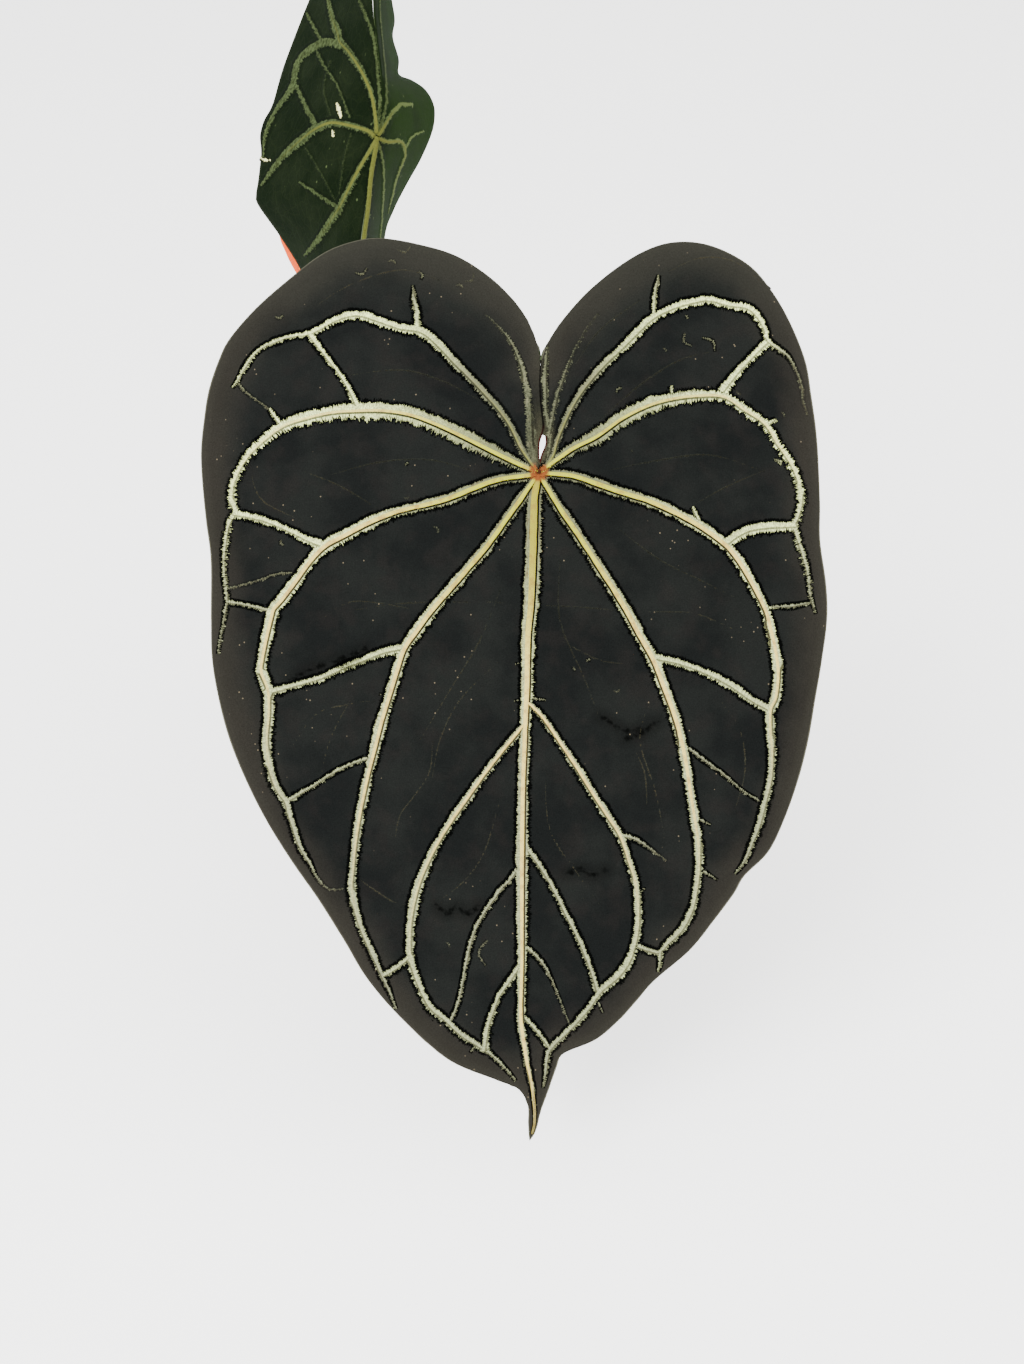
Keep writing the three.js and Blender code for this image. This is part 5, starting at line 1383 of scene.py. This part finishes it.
def limb_rings(points, radii, sides, steps, rough, seed, flute=0.0, flutes=1):
    """Rings round a curve: radius = the list's value * (1 + flute * cos(flutes * turn)) + roughness."""
    shares = np.linspace(0, 1, steps + 1)
    centre = curve_at(points, shares, 0.5)
    heading = unit(np.gradient(centre, axis=0))
    aside = [unit(np.cross(heading[0], SIGHT))]
    for way in heading[1:]:
        aside.append(unit(aside[-1] - way * np.dot(aside[-1], way)))
    aside = np.array(aside)
    other = np.cross(heading, aside)
    turn = np.linspace(0, 2 * math.pi, sides, endpoint=False)
    radius = along(radii, shares)[:, None] * (1 + flute * np.cos(flutes * turn))
    spoke = np.cos(turn)[None, :, None] * aside[:, None] + np.sin(turn)[None, :, None] * other[:, None]
    rings = centre[:, None] + radius[..., None] * spoke
    bumps = rough * waviness(rings[..., 0], rings[..., 1], rings[..., 2], 7, seed)
    return rings + bumps[..., None] * spoke, np.broadcast_to(shares[:, None], radius.shape)


print("limb helpers ready")

# %% The three stalks
FRONT_STALK = {
    "points": [(1, 0, 116), (1.5, -12, 138), (3, -40, 178), (6, -74, 204), (8, -98, 215.5),
               tuple(place(539, 481, 504.7))],
    "radii": [5.2, 4.6, 3.6, 3.3, 3.1, 3, 3, 3.2, 4, 4.2, 3.2],
}
BACK_STALK = {
    "points": [(-2, 8, 116)] + [tuple(place(*spot)) for spot in (
        (492, 512, 664), (450, 440, 676), (408, 345, 676), (379, 262, 660), (366, 196, 618), (371, 158, 584),
        (375.5, 147, 565.5))],
    "radii": [5, 4.4, 3.4, 3, 2.8, 2.7, 2.7, 2.8, 3.4, 3.5, 2.6],
}
YOUNG_STALK = {
    "points": [(5, 8, 110), (8, 23, 122), (-6, 54, 142), (-38, 92, 172), (-70, 115, 208), (-85, 120, 238),
               tuple(place(316, 195, 671.2))],
    "radii": [3.8, 3, 2.2, 2, 1.9, 1.8, 1.8, 2, 2.2, 2],
}


def stalk(name, shape, node, steps):
    """One leaf stalk with shallow flutes."""
    parts = Parts()
    rings, shares = limb_rings(shape["points"], shape["radii"], 28, steps, 0.06, steps, flute=0.018, flutes=9)
    parts.add(rings, ring_faces, share=shares)
    return make_piece(name, parts, "stalk", [node], merge=False)


def stalk_finish(name, light, dark, knee):
    """Waxy green, darker in patches, with lengthwise marks, pale dots and a browner knee."""
    mix = Finish(name)
    share = mix.kept("share")
    colour = mix.tinted(light, dark, mix.noise(22, 4), 0.38, 0.62)
    marks = mix.noise(0.7, 3, 0.6, mix.moved((1, 0.2, 0.2)))
    colour = mix.layered(
        colour, (dark, marks, 0.5, 0.7, 0, 0.35),
        (ink(186, 190, 130), mix.cells(2.4), 0.08, 0.16, 0.7, 0),
        (knee, share, 0.84, 0.94, 0, 0.65),
        (knee, share, 0.0, 0.14, 0.6, 0))
    relief = mix.bump(marks, 0.12)
    relief = mix.bump(mix.spread(mix.cells(2.4), 0.06, 0.2, 1, 0), 0.08, relief)
    return mix.done(colour, mix.spread(marks, 0.3, 0.7, 0.38, 0.6), relief, Specular_IOR_Level=0.45,
                    Coat_Weight=0.12, Coat_Roughness=0.35)


stalk_green = stalk_finish("stalk_green", ink(112, 126, 62), ink(74, 90, 42), ink(112, 84, 54))
stalk_copper = stalk_finish("stalk_copper", ink(168, 122, 66), ink(140, 92, 54), ink(186, 104, 62))
stalk("front_stalk", FRONT_STALK, "front_petiole", 120).data.materials.append(stalk_green)
stalk("back_stalk", BACK_STALK, "back_petiole", 150).data.materials.append(stalk_green)
stalk("young_stalk", YOUNG_STALK, "young_petiole", 110).data.materials.append(stalk_copper)

# %% [markdown]
# ## Stem, roots and sheaths
# The stem is short and thick, ringed by the scars of old leaves, and cord-like roots leave it
# above the bark. A dry sheath stands on each side, the remains of what once wrapped a new leaf.
# The stem and roots are limbs again. A sheath is a strip bent round the stem that narrows to a
# frayed point. Its two sides form one closed ring at every height, so that it has a thickness.

# %% The stem and its roots
STEM = {"foot": 58, "top": 134, "radius": 9.5, "dome": 0.14, "taper": 0.55, "scar": 0.7, "scars": 5,
        "sides": 48, "steps": 96}
STEM_PATH = [(1, 7, 58), (2, 6, 84), (1.5, 4, 110), (0, 3, 134)]
ROOTS = [
    ([(6, 6, 103), (15, 8, 105), (22, 9, 99), (24, 9, 84)], [2.4, 2.1, 1.9, 1.7]),
    ([(-4, 8, 113), (-13, 14, 110), (-18, 19, 100), (-20, 21, 86)], [2.2, 2, 1.8, 1.6]),
    ([(6, -1, 98), (14, -5, 100), (21, -9, 95), (24, -11, 80)], [2.5, 2.2, 2, 1.8]),
    ([(-5, 1, 109), (-13, -7, 107), (-18, -12, 98), (-20, -14, 84)], [2.2, 2, 1.8, 1.6]),
    ([(2, -3, 114), (9, -13, 110), (11, -20, 99), (11, -23, 85)], [2.3, 2, 1.8, 1.6]),
]


def stem_radii(count):
    """Radius = full * (1 - taper * dome^2), where the dome starts near the top, + narrow scar
    ridges: a cosine raised to a power."""
    share = np.linspace(0, 1, count)
    dome = np.maximum(0, (share - 1 + STEM["dome"]) / STEM["dome"])
    scar = np.cos(share * STEM["scars"] * 2 * math.pi)
    ridge = STEM["scar"] * (1.6 * ((1 + scar) / 2) ** 5 - 0.6)
    return STEM["radius"] * (1 - STEM["taper"] * dome**2) + ridge


def stem_piece():
    """The stem, and each root from inside it down into the bark."""
    parts = Parts()
    sides, steps = STEM["sides"], STEM["steps"]
    rings, shares = limb_rings(STEM_PATH, stem_radii(steps + 1), sides, steps, 0.25, 5, flute=0.012, flutes=7)
    parts.add(rings, ring_faces, share=shares, root=0.0)
    for seed, (points, radii) in enumerate(ROOTS):
        rings, shares = limb_rings(points, radii, 16, 44, 0.16, seed + 20)
        parts.add(rings, ring_faces, share=shares, root=1.0)
    return make_piece("stem_and_roots", parts, "stem", ["stem"], merge=False)


def stem_finish():
    """Olive-brown skin with pale scars; the roots are covered in silvery, spongy velamen."""
    mix = Finish("stem_skin")
    parts = mix.parted()
    skin = mix.tinted(ink(92, 92, 54), ink(122, 104, 68), mix.noise(6, 4), 0.35, 0.65)
    rings = mix.noise(1.2, 4, 0.6, mix.moved((1, 1, 3)))
    skin = mix.tinted(skin, ink(70, 58, 38), rings, 0.5, 0.7, 0, 0.5)
    scars_per_metre = STEM["scars"] / (STEM["top"] - STEM["foot"]) / MM
    height = mix.times(mix.math("SUBTRACT", parts[2], STEM["foot"] * MM), scars_per_metre)
    scar = mix.math("PINGPONG", mix.math("ADD", height, mix.times(mix.noise(10), 0.1)), 0.5)
    skin = mix.tinted(skin, ink(176, 158, 116), scar, 0.02, 0.1, 0.75, 0)
    cork = mix.tinted(ink(176, 172, 148), ink(132, 124, 98), mix.noise(2.5, 4), 0.35, 0.65)
    tip = mix.spread(mix.kept("share"), 0.45, 0.9)
    cork = mix.mix(mix.times(tip, 0.6), cork, ink(104, 84, 58))
    colour = mix.mix(mix.kept("root"), skin, cork)
    relief = mix.bump(mix.noise(0.9, 4, 0.65), 0.35)
    relief = mix.bump(mix.noise(3, 3), 0.5, relief)
    return mix.done(colour, 0.75, relief, Specular_IOR_Level=0.35)


stem_piece().data.materials.append(stem_finish())

# %% The papery sheaths
SHEATHS = {
    "cataphyll_right": {"turn": -0.35, "foot": 106, "height": 44, "spread": 1.5, "lean": 7},
    "cataphyll_left": {"turn": 3.5, "foot": 104, "height": 40, "spread": 1.3, "lean": 8},
}
SHEATH_GAP = 1.85
SHEATH_THICKNESS = 0.6
SHEATH_COLUMNS = 26
SHEATH_STEPS = 60
PLEAT = {"high": 0.22, "turns": 60, "start": 0.3}
CURL = {"high": 0.5, "turns": 17, "slant": 5}


def sheath(node, shape):
    """A strip round the stem. Half angle = spread / 2 * (1 - share)^0.6, and it leans out from the
    stem by lean * share^2. The last part of it is curled and pleated."""
    share = np.linspace(0, 1, SHEATH_STEPS + 1)[:, None]
    column = np.linspace(-0.5, 0.5, SHEATH_COLUMNS + 1)[None, :]
    z = shape["foot"] + shape["height"] * share
    climb = np.clip((z[:, 0] - STEM["foot"]) / (STEM["top"] - STEM["foot"]), 0, 1)
    centre = curve_at(STEM_PATH, climb, 0.5)[:, None, :2]
    angle = shape["turn"] + column * shape["spread"] * (1 - share * 0.985) ** 0.6
    pleat = PLEAT["high"] * np.sin(column * PLEAT["turns"]) * (PLEAT["start"] + share)
    curl = CURL["high"] * share**2 * np.sin(share * CURL["turns"] + column * CURL["slant"])
    radius = STEM["radius"] + STEM["scar"] + SHEATH_GAP + shape["lean"] * share**2 + (pleat + curl)
    spoke = round_spots(angle)
    face = centre + radius[..., None] * spoke
    back = centre + (radius - SHEATH_THICKNESS)[..., None] * spoke
    height = np.broadcast_to(z, angle.shape)[..., None]
    rings = np.concatenate([np.dstack([face, height]), np.dstack([back, height])[:, ::-1]], axis=1)
    run = np.concatenate([column, column[:, ::-1]], axis=1) * np.ones_like(share)
    parts = Parts()
    parts.add(rings, ring_faces, share=np.broadcast_to(share, run.shape), aside=run)
    return make_piece(f"{node}_paper", parts, "sheath", [node])


def paper_finish():
    """Dry tan paper with brown fibres that run up it, darker and frayed towards the tip."""
    mix = Finish("dry_paper")
    fibres = mix.noise(0.9, 4, 0.65, mix.joined(mix.times(mix.kept("aside"), 22 * MM),
                                                mix.times(mix.kept("share"), 4 * MM)))
    colour = mix.tinted(ink(178, 144, 98), ink(122, 88, 54), fibres, 0.35, 0.65)
    colour = mix.tinted(colour, ink(148, 104, 62), mix.noise(7, 4), 0.4, 0.7, 0, 0.6)
    colour = mix.tinted(colour, ink(92, 62, 38), mix.kept("share"), 0.6, 1, 0, 0.7)
    return mix.done(colour, 0.8, mix.bump(fibres, 0.3), Specular_IOR_Level=0.3)


paper = paper_finish()
for node, shape in SHEATHS.items():
    sheath(node, shape).data.materials.append(paper)

# %% [markdown]
# ## The bark mix
# Such a plant grows in loose bark with white perlite, so that its roots get air. A bumpy disc
# would look like earth. Here a low mound fills the pot, and over it lie chips: the two dozen large
# ones of the solid, where the solid has them, and many smaller ones. A chip is a short thick slab
# with blunt corners, rings of a square-ish outline, whose size, turn and dents are its own.

# %% The mound
POT = {
    "height": 112, "base_radius": 42, "rim_radius": 63, "rim_drop": 28, "rim_step": 5, "wall": 6,
    "floor": 7, "round": 1.5,
}
MOUND_SUNK = 0.6
# Crumbs on the mound: their height, their size and a seed
CRUMBS = ((0.7, 4, 31), (0.5, 1.9, 32))
SOIL = {"edge_height": 96, "mound": 5, "ripple": 0.8, "gap": 0.35, "sides": 120, "steps": 44}


def pot_inside(z):
    """Radius of the pot's inner wall at a height: a straight taper."""
    ends = (POT["floor"], POT["height"] - POT["round"])
    bottom = POT["base_radius"] - POT["wall"] + POT["round"]
    top = POT["rim_radius"] - POT["wall"] - POT["round"] / 3
    return bottom + (top - bottom) * (np.asarray(z, float) - ends[0]) / (ends[1] - ends[0])


def soil_top(x, y):
    """Height of the bark: edge + mound * (1 - (r / inside)^2) + a slight ripple."""
    reach = np.hypot(x, y) / pot_inside(SOIL["edge_height"])
    ripple = SOIL["ripple"] * np.sin(x * 0.31 + 1) * np.cos(y * 0.27)
    return SOIL["edge_height"] + SOIL["mound"] * (1 - reach**2) + ripple


def lathe_rings(profile, sides):
    """Rings of a turned shape: each (radius, height) of the profile, carried round the axis."""
    radius, height = np.asarray(profile, float).T
    turn = np.linspace(0, 2 * math.pi, sides, endpoint=False)
    flat = radius[:, None, None] * round_spots(turn)
    return np.dstack([flat, np.broadcast_to(height[:, None], flat.shape[:2])])


def mound_rings():
    """The filling: up the pot's wall, then in over the mound, with crumbs on top."""
    steps = SOIL["steps"]
    bottom = POT["floor"] + SOIL["gap"]
    edge = float(pot_inside(SOIL["edge_height"])) - SOIL["gap"]
    low = float(pot_inside(bottom)) - SOIL["gap"]
    wall = [(0.4, bottom), (low, bottom), (edge, SOIL["edge_height"] - 1)]
    top = [(edge * (1 - i / steps) + 0.4 * i / steps, 0) for i in range(steps + 1)]
    rings = lathe_rings(wall + top, SOIL["sides"])
    x, y = rings[len(wall):, :, 0], rings[len(wall):, :, 1]
    crumbs = sum(high * waviness(x, y, 0 * x, size, seed) for high, size, seed in CRUMBS)
    rings[len(wall):, :, 2] = soil_top(x, y) - MOUND_SUNK + crumbs
    return rings


print("bark in the middle, mm up:", round(float(soil_top(0, 0)), 1))

# %% Chips and perlite
BIG_CHIPS = {"count": 24, "reach": 45, "long": (7, 14), "wide": (5, 9), "thick": (3.5, 6), "tilt": 0.45,
             "seed": 17, "grow": 1.05}
GOLDEN_TURN = 2.39996
STEM_SPOT = (2, 5)
SMALL_CHIPS = {"seed": 41, "count": 420, "reach": 51, "clear": 9}
PERLITE = {"seed": 43, "count": 90, "reach": 49, "clear": 11}
CHIP_STATIONS = np.array([-1, -0.82, 0, 0.82, 1])
CHIP_GROWTH = np.array([0.55, 0.92, 1, 0.92, 0.55])
CHIP_SIDES = 8
CHIP_BLUNTNESS = 0.45


def counted_random(seed):
    """The small random numbers that the solid's own chips were laid with."""
    state = seed
    while True:
        state = (state * 1664525 + 1013904223) % 4294967296
        yield state / 4294967296


def turned(points, x_turn, y_turn, z_turn):
    """Points turned about x, then y, then z."""
    for axis, turn in enumerate((x_turn, y_turn, z_turn)):
        a, b = (axis + 1) % 3, (axis + 2) % 3
        cos, sin = np.cos(turn), np.sin(turn)
        first = points[..., a] * cos - points[..., b] * sin
        second = points[..., a] * sin + points[..., b] * cos
        points = points.copy()
        points[..., a], points[..., b] = first, second
    return points


def chip_rings(size, dents):
    """A slab with blunt corners: at each station along it, a ring whose outline is a superellipse,
    |cos|^bluntness and |sin|^bluntness, smaller at the ends, with dents of its own."""
    turn = (np.arange(CHIP_SIDES) + 0.5) / CHIP_SIDES * 2 * math.pi
    circle = round_spots(turn)
    outline = np.sign(circle) * np.abs(circle) ** CHIP_BLUNTNESS
    ring = outline[None] * CHIP_GROWTH[:, None, None] * dents[..., None]
    along_it = np.broadcast_to(CHIP_STATIONS[:, None, None], (*ring.shape[:2], 1))
    return np.concatenate([along_it, ring], axis=-1) * np.asarray(size) / 2


def add_chip(parts, size, turns, spot, random, tint, roughness=0.16):
    """One chip at its place, with its own tint."""
    dents = 1 + random.uniform(-roughness, roughness, (len(CHIP_STATIONS), CHIP_SIDES))
    rings = turned(chip_rings(size, dents), *turns) + np.asarray(spot)
    parts.add(rings, ring_faces, tint=tint)


def big_chips(parts, random):
    """The chips of the solid, at the same places."""
    draw = counted_random(BIG_CHIPS["seed"])
    tilt = BIG_CHIPS["tilt"]

    def between(low, high):
        """The next draw, as a number from low to high."""
        return low + next(draw) * (high - low)

    for i in range(BIG_CHIPS["count"]):
        angle = i * GOLDEN_TURN + next(draw) * 0.5
        radius = BIG_CHIPS["reach"] * math.sqrt((i + 0.5) / BIG_CHIPS["count"])
        x, y = math.cos(angle) * radius, math.sin(angle) * radius
        size = [between(*BIG_CHIPS[name]) for name in ("long", "wide", "thick")]
        turns = between(-tilt, tilt), between(-tilt, tilt), next(draw) * math.pi
        spot = x, y, float(soil_top(x, y))
        add_chip(parts, np.array(size) * BIG_CHIPS["grow"], turns, spot, random, random.uniform())


def strewn(random, grains):
    """Places spread over the mound, none of them inside the stem."""
    count = grains["count"]
    angle = np.arange(count) * GOLDEN_TURN + random.uniform(0, 0.6, count)
    radius = grains["reach"] * np.sqrt((np.arange(count) + 0.5) / count)
    x, y = (radius[:, None] * round_spots(angle)).T
    kept = np.hypot(x - STEM_SPOT[0], y - STEM_SPOT[1]) > grains["clear"]
    return zip(x[kept], y[kept])


def bark_piece():
    """The mound, the solid's chips and the smaller ones between them."""
    random = np.random.default_rng(SMALL_CHIPS["seed"])
    parts = Parts()
    parts.add(mound_rings(), ring_faces, tint=0.12)
    big_chips(parts, random)
    for x, y in strewn(random, SMALL_CHIPS):
        size = random.uniform((3, 2.2, 1.4), (8.5, 5.5, 3.2))
        turns = (*random.uniform(-0.7, 0.7, 2), random.uniform(0, math.pi))
        spot = (x, y, float(soil_top(x, y)) + random.uniform(-0.4, 1.1))
        add_chip(parts, size, turns, spot, random, random.uniform())
    return make_piece("bark_mix", parts, "bark", ["substrate"], sharp=38, merge=False)


def perlite_piece():
    """White grains of puffed stone, a little sunk in the bark."""
    random = np.random.default_rng(PERLITE["seed"])
    parts = Parts()
    for x, y in strewn(random, PERLITE):
        size = random.uniform(1.6, 3.6) * random.uniform(0.8, 1.2, 3)
        turns = random.uniform(0, math.pi, 3)
        spot = (x + random.uniform(-2, 2), y + random.uniform(-2, 2), float(soil_top(x, y)) + 1.0)
        add_chip(parts, size, turns, spot, random, random.uniform(), 0.22)
    return make_piece("perlite", parts, "bark", merge=False)


def bark_finish():
    """Each chip has its own brown. Bark splits in fibres and flakes, paler where it broke."""
    mix = Finish("bark_chips")
    colour = mix.ramp(mix.kept("tint"), (0, ink(44, 30, 20)), (0.3, ink(78, 52, 34)),
                      (0.6, ink(112, 76, 48)), (0.85, ink(92, 54, 34)), (1, ink(140, 102, 66)))
    flakes = mix.noise(1.6, 5, 0.7, mix.moved((1, 1, 3)))
    colour = mix.tinted(colour, ink(52, 34, 22), flakes, 0.42, 0.62, 0, 0.6)
    colour = mix.tinted(colour, ink(164, 126, 86), mix.noise(0.6, 4), 0.6, 0.75, 0, 0.5)
    relief = mix.bump(flakes, 0.6)
    relief = mix.bump(mix.noise(0.4, 3), 0.15, relief)
    return mix.done(colour, 0.88, relief, Specular_IOR_Level=0.3)


def perlite_finish():
    """Chalky white stone with pores."""
    mix = Finish("perlite_white")
    colour = mix.tinted(ink(236, 232, 220), ink(196, 186, 166), mix.noise(1.4, 4), 0.35, 0.7)
    pores = mix.spread(mix.cells(0.5), 0.1, 0.35)
    colour = mix.mix(mix.times(mix.math("SUBTRACT", 1.0, pores), 0.4), colour, ink(150, 138, 118))
    return mix.done(colour, 0.9, mix.bump(pores, 0.2), Specular_IOR_Level=0.25)


bark_piece().data.materials.append(bark_finish())
perlite_piece().data.materials.append(perlite_finish())

# %% [markdown]
# ## The clay pot
# A common clay pot has a tapered wall, a thick rim with a step under it, and holes in its floor.
# The wall and rim are a profile turned round the axis, with fine throwing lines and a rim that
# isn't quite true. A boolean could drill the floor, but it leaves long thin faces. Instead the
# floor is cut like a cake, and in each slice rings grow from the hole's round edge to the slice's
# own border, so that the mesh stays even and closed.

# %% The pot
DRAIN = {"count": 4, "radius": 4.5, "ring": 19}
POT_SIDES = 144
FLOOR_STEPS = 5
PROFILE_STEP = 3
CORNER_STEPS = 5
UNDERSIDE_RADIUS = POT["base_radius"] - 6


def rounded(corner_in, corner, corner_out, radius):
    """Points of a rounded corner: a quadratic curve between two places a radius away from it."""
    corner_in, corner, corner_out = (np.asarray(p, float) for p in (corner_in, corner, corner_out))
    start = corner + unit(corner_in - corner) * radius
    end = corner + unit(corner_out - corner) * radius
    t = np.linspace(0, 1, CORNER_STEPS)[:, None]
    return (1 - t) ** 2 * start + 2 * t * (1 - t) * corner + t**2 * end


def pot_profile():
    """The wall from the edge of the underside, up outside, over the rim and down inside."""
    foot = POT["height"] - POT["rim_drop"]
    step_in = POT["rim_radius"] - POT["rim_step"]
    inner_top = POT["rim_radius"] - POT["wall"]
    corners = [(UNDERSIDE_RADIUS, 0), (POT["base_radius"], 0), (step_in, foot),
               (POT["rim_radius"] - 0.6, foot), (POT["rim_radius"], POT["height"]),
               (inner_top, POT["height"]), (float(pot_inside(POT["floor"])), POT["floor"])]
    radii = (1.5, 0.8, 1.4, 2.4, 1.8)
    points = [np.array([corners[0]], float)]
    for i, radius in enumerate(radii, start=1):
        points.append(rounded(corners[i - 1], corners[i], corners[i + 1], radius))
    points.append(np.array([corners[-1]], float))
    dense = []
    for start, end in zip(points[:-1], points[1:]):
        gap = np.linalg.norm(end[0] - start[-1])
        cuts = np.linspace(0, 1, max(2, int(gap / PROFILE_STEP)) + 1)[1:-1, None]
        dense += [start, start[-1] + (end[0] - start[-1]) * cuts]
    return np.vstack(dense + [points[-1]])


def pot_wall(parts):
    """The turned wall, with throwing lines and a little wobble that fades at its borders."""
    rings = lathe_rings(pot_profile(), POT_SIDES)
    x, y, z = rings[..., 0], rings[..., 1], rings[..., 2]
    free = np.clip(z / 6, 0, 1) * np.clip((z - POT["floor"]) / 4 + 1, 0, 1)
    lines = 0.07 * np.sin(z * 2.3) + 0.05 * np.sin(z * 5.1 + 1) + 0.14 * waviness(x, y, z, 60, 3)
    spoke = unit(np.dstack([x, y]))
    held = np.ones(len(rings))
    held[[0, -1]] = 0
    rings[..., :2] += spoke * (lines * free * held[:, None])[..., None]
    parts.add(np.concatenate([rings, rings[:, :1]], axis=1), sheet_faces)


def slice_border(radius, number):
    """The border of one slice of the floor: out along one cut, round the arc, back along the other."""
    per_slice = POT_SIDES // DRAIN["count"]
    cuts = per_slice // 2
    first = 2 * math.pi * number / DRAIN["count"]
    arc = first + np.arange(per_slice + 1) / per_slice * 2 * math.pi / DRAIN["count"]
    out = np.linspace(0, radius, cuts, endpoint=False)[:, None]
    round_arc = round_spots(arc)
    return np.vstack([out * round_arc[0], radius * round_arc, out[::-1] * round_arc[-1]])


def pot_floor(parts):
    """Underside, hole walls and inner floor of each slice, as one grid of rings."""
    inner = float(pot_inside(POT["floor"]))
    for number in range(DRAIN["count"]):
        middle = 2 * math.pi * (number + 0.5) / DRAIN["count"]
        hole_centre = DRAIN["ring"] * round_spots(middle)
        low, high = slice_border(UNDERSIDE_RADIUS, number), slice_border(inner, number)
        circle = hole_centre + DRAIN["radius"] * unit(low - hole_centre)
        share = np.linspace(0, 1, FLOOR_STEPS)[:, None, None]
        under = low + (circle - low) * share
        over = circle + (high - circle) * share
        flat = np.concatenate([under, over])
        height = np.repeat([0.0, POT["floor"]], FLOOR_STEPS)[:, None, None] * np.ones((1, flat.shape[1], 1))
        parts.add(np.concatenate([flat, height], axis=-1), sheet_faces)


def clay_finish():
    """Fired clay: orange-brown with darker and paler clouds, fine grit, and white bloom where
    water has dried, at the foot and under the rim."""
    mix = Finish("fired_clay")
    parts = mix.parted()
    colour = mix.tinted(ink(176, 110, 60), ink(150, 88, 46), mix.noise(34, 4), 0.36, 0.64)
    colour = mix.tinted(colour, ink(202, 138, 90), mix.noise(5, 4), 0.5, 0.7, 0, 0.3)
    colour = mix.tinted(colour, ink(120, 62, 42), mix.cells(1.8), 0.08, 0.16, 0.5, 0)
    foot = mix.spread(parts[2], 3 * MM, 34 * MM, 1, 0)
    rim = mix.spread(parts[2], 100 * MM, 112 * MM)
    bloom = mix.spread(mix.noise(11, 6, 0.65), 0.44, 0.66)
    bloom = mix.times(bloom, mix.math("MAXIMUM", foot, mix.times(rim, 0.8)))
    colour = mix.mix(mix.times(bloom, 0.6), colour, ink(214, 196, 176))
    rings = mix.noise(1.2, 3, 0.5, mix.moved((0.03, 0.03, 1)))
    relief = mix.bump(rings, 0.14)
    relief = mix.bump(mix.noise(0.5, 3, 0.7), 0.12, relief)
    return mix.done(colour, mix.spread(bloom, 0, 1, 0.78, 0.92), relief, Specular_IOR_Level=0.3)


pot_parts = Parts()
pot_wall(pot_parts)
pot_floor(pot_parts)
pot = make_piece("clay_pot", pot_parts, "clay", ["pot"], sharp=50)
pot.data.materials.append(clay_finish())

# %% [markdown]
# ## Floor and light
# The plant stands on a plain pale floor that fills the picture, under soft light: a bright sky all
# round, and one broad lamp from the upper left in front that gives the leaves their shape.

# %% Floor, sky and lamps
FLOOR_GLOW = 0.8
FLOOR_REACH = 9
LIT_PLACE = (0, -0.1, 0.17)


def make_floor():
    """A wide pale floor just under the pot."""
    mesh = bpy.data.meshes.new("floor")
    corners = [(x * FLOOR_REACH, y * FLOOR_REACH, 0) for x, y in ((-1, -1), (1, -1), (1, 1), (-1, 1))]
    mesh.from_pydata(corners, [], [(0, 1, 2, 3)])
    mix = Finish("floor_white")
    mesh.materials.append(mix.done((0.93, 0.93, 0.92, 1), 0.9, Specular_IOR_Level=0.2,
                                   Emission_Color=(1, 1, 1, 1), Emission_Strength=FLOOR_GLOW))
    linked("floor", mesh)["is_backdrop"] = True


def make_lamp(name, spot, size, power):
    """A square lamp turned to the leaves."""
    data = bpy.data.lights.new(name, "AREA")
    data.size = size
    data.energy = power
    lamp = linked(name, data)
    lamp.location = spot
    way = np.subtract(LIT_PLACE, spot)
    flat = math.hypot(way[0], way[1])
    lamp.rotation_euler = (math.atan2(flat, -way[2]), 0, math.atan2(way[1], way[0]) - math.pi / 2)


def make_sky(strength):
    """An even pale sky."""
    world = bpy.data.worlds.new("sky")
    world.use_nodes = True
    sky = world.node_tree.nodes["Background"]
    sky.inputs["Color"].default_value = (1, 1, 1, 1)
    sky.inputs["Strength"].default_value = strength
    bpy.context.scene.world = world


make_floor()
make_sky(2.6)
make_lamp("window", (-0.9, -1.1, 1.3), 0.9, 52)
make_lamp("fill", (1.2, -0.6, 0.9), 1.2, 17)
print("lit from", LIT_PLACE)

# %% [markdown]
# ## Sizes
# Both boxes are printed: the solids' own and the dressed plant's.

# %% Sizes and the end
size = {"cad": [list(map(float, corner)) for corner in cad_box],
        "scene": [list(map(float, corner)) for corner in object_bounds()]}
print("solids:", np.round(size["cad"], 3).tolist())
print("dressed:", np.round(size["scene"], 3).tolist())
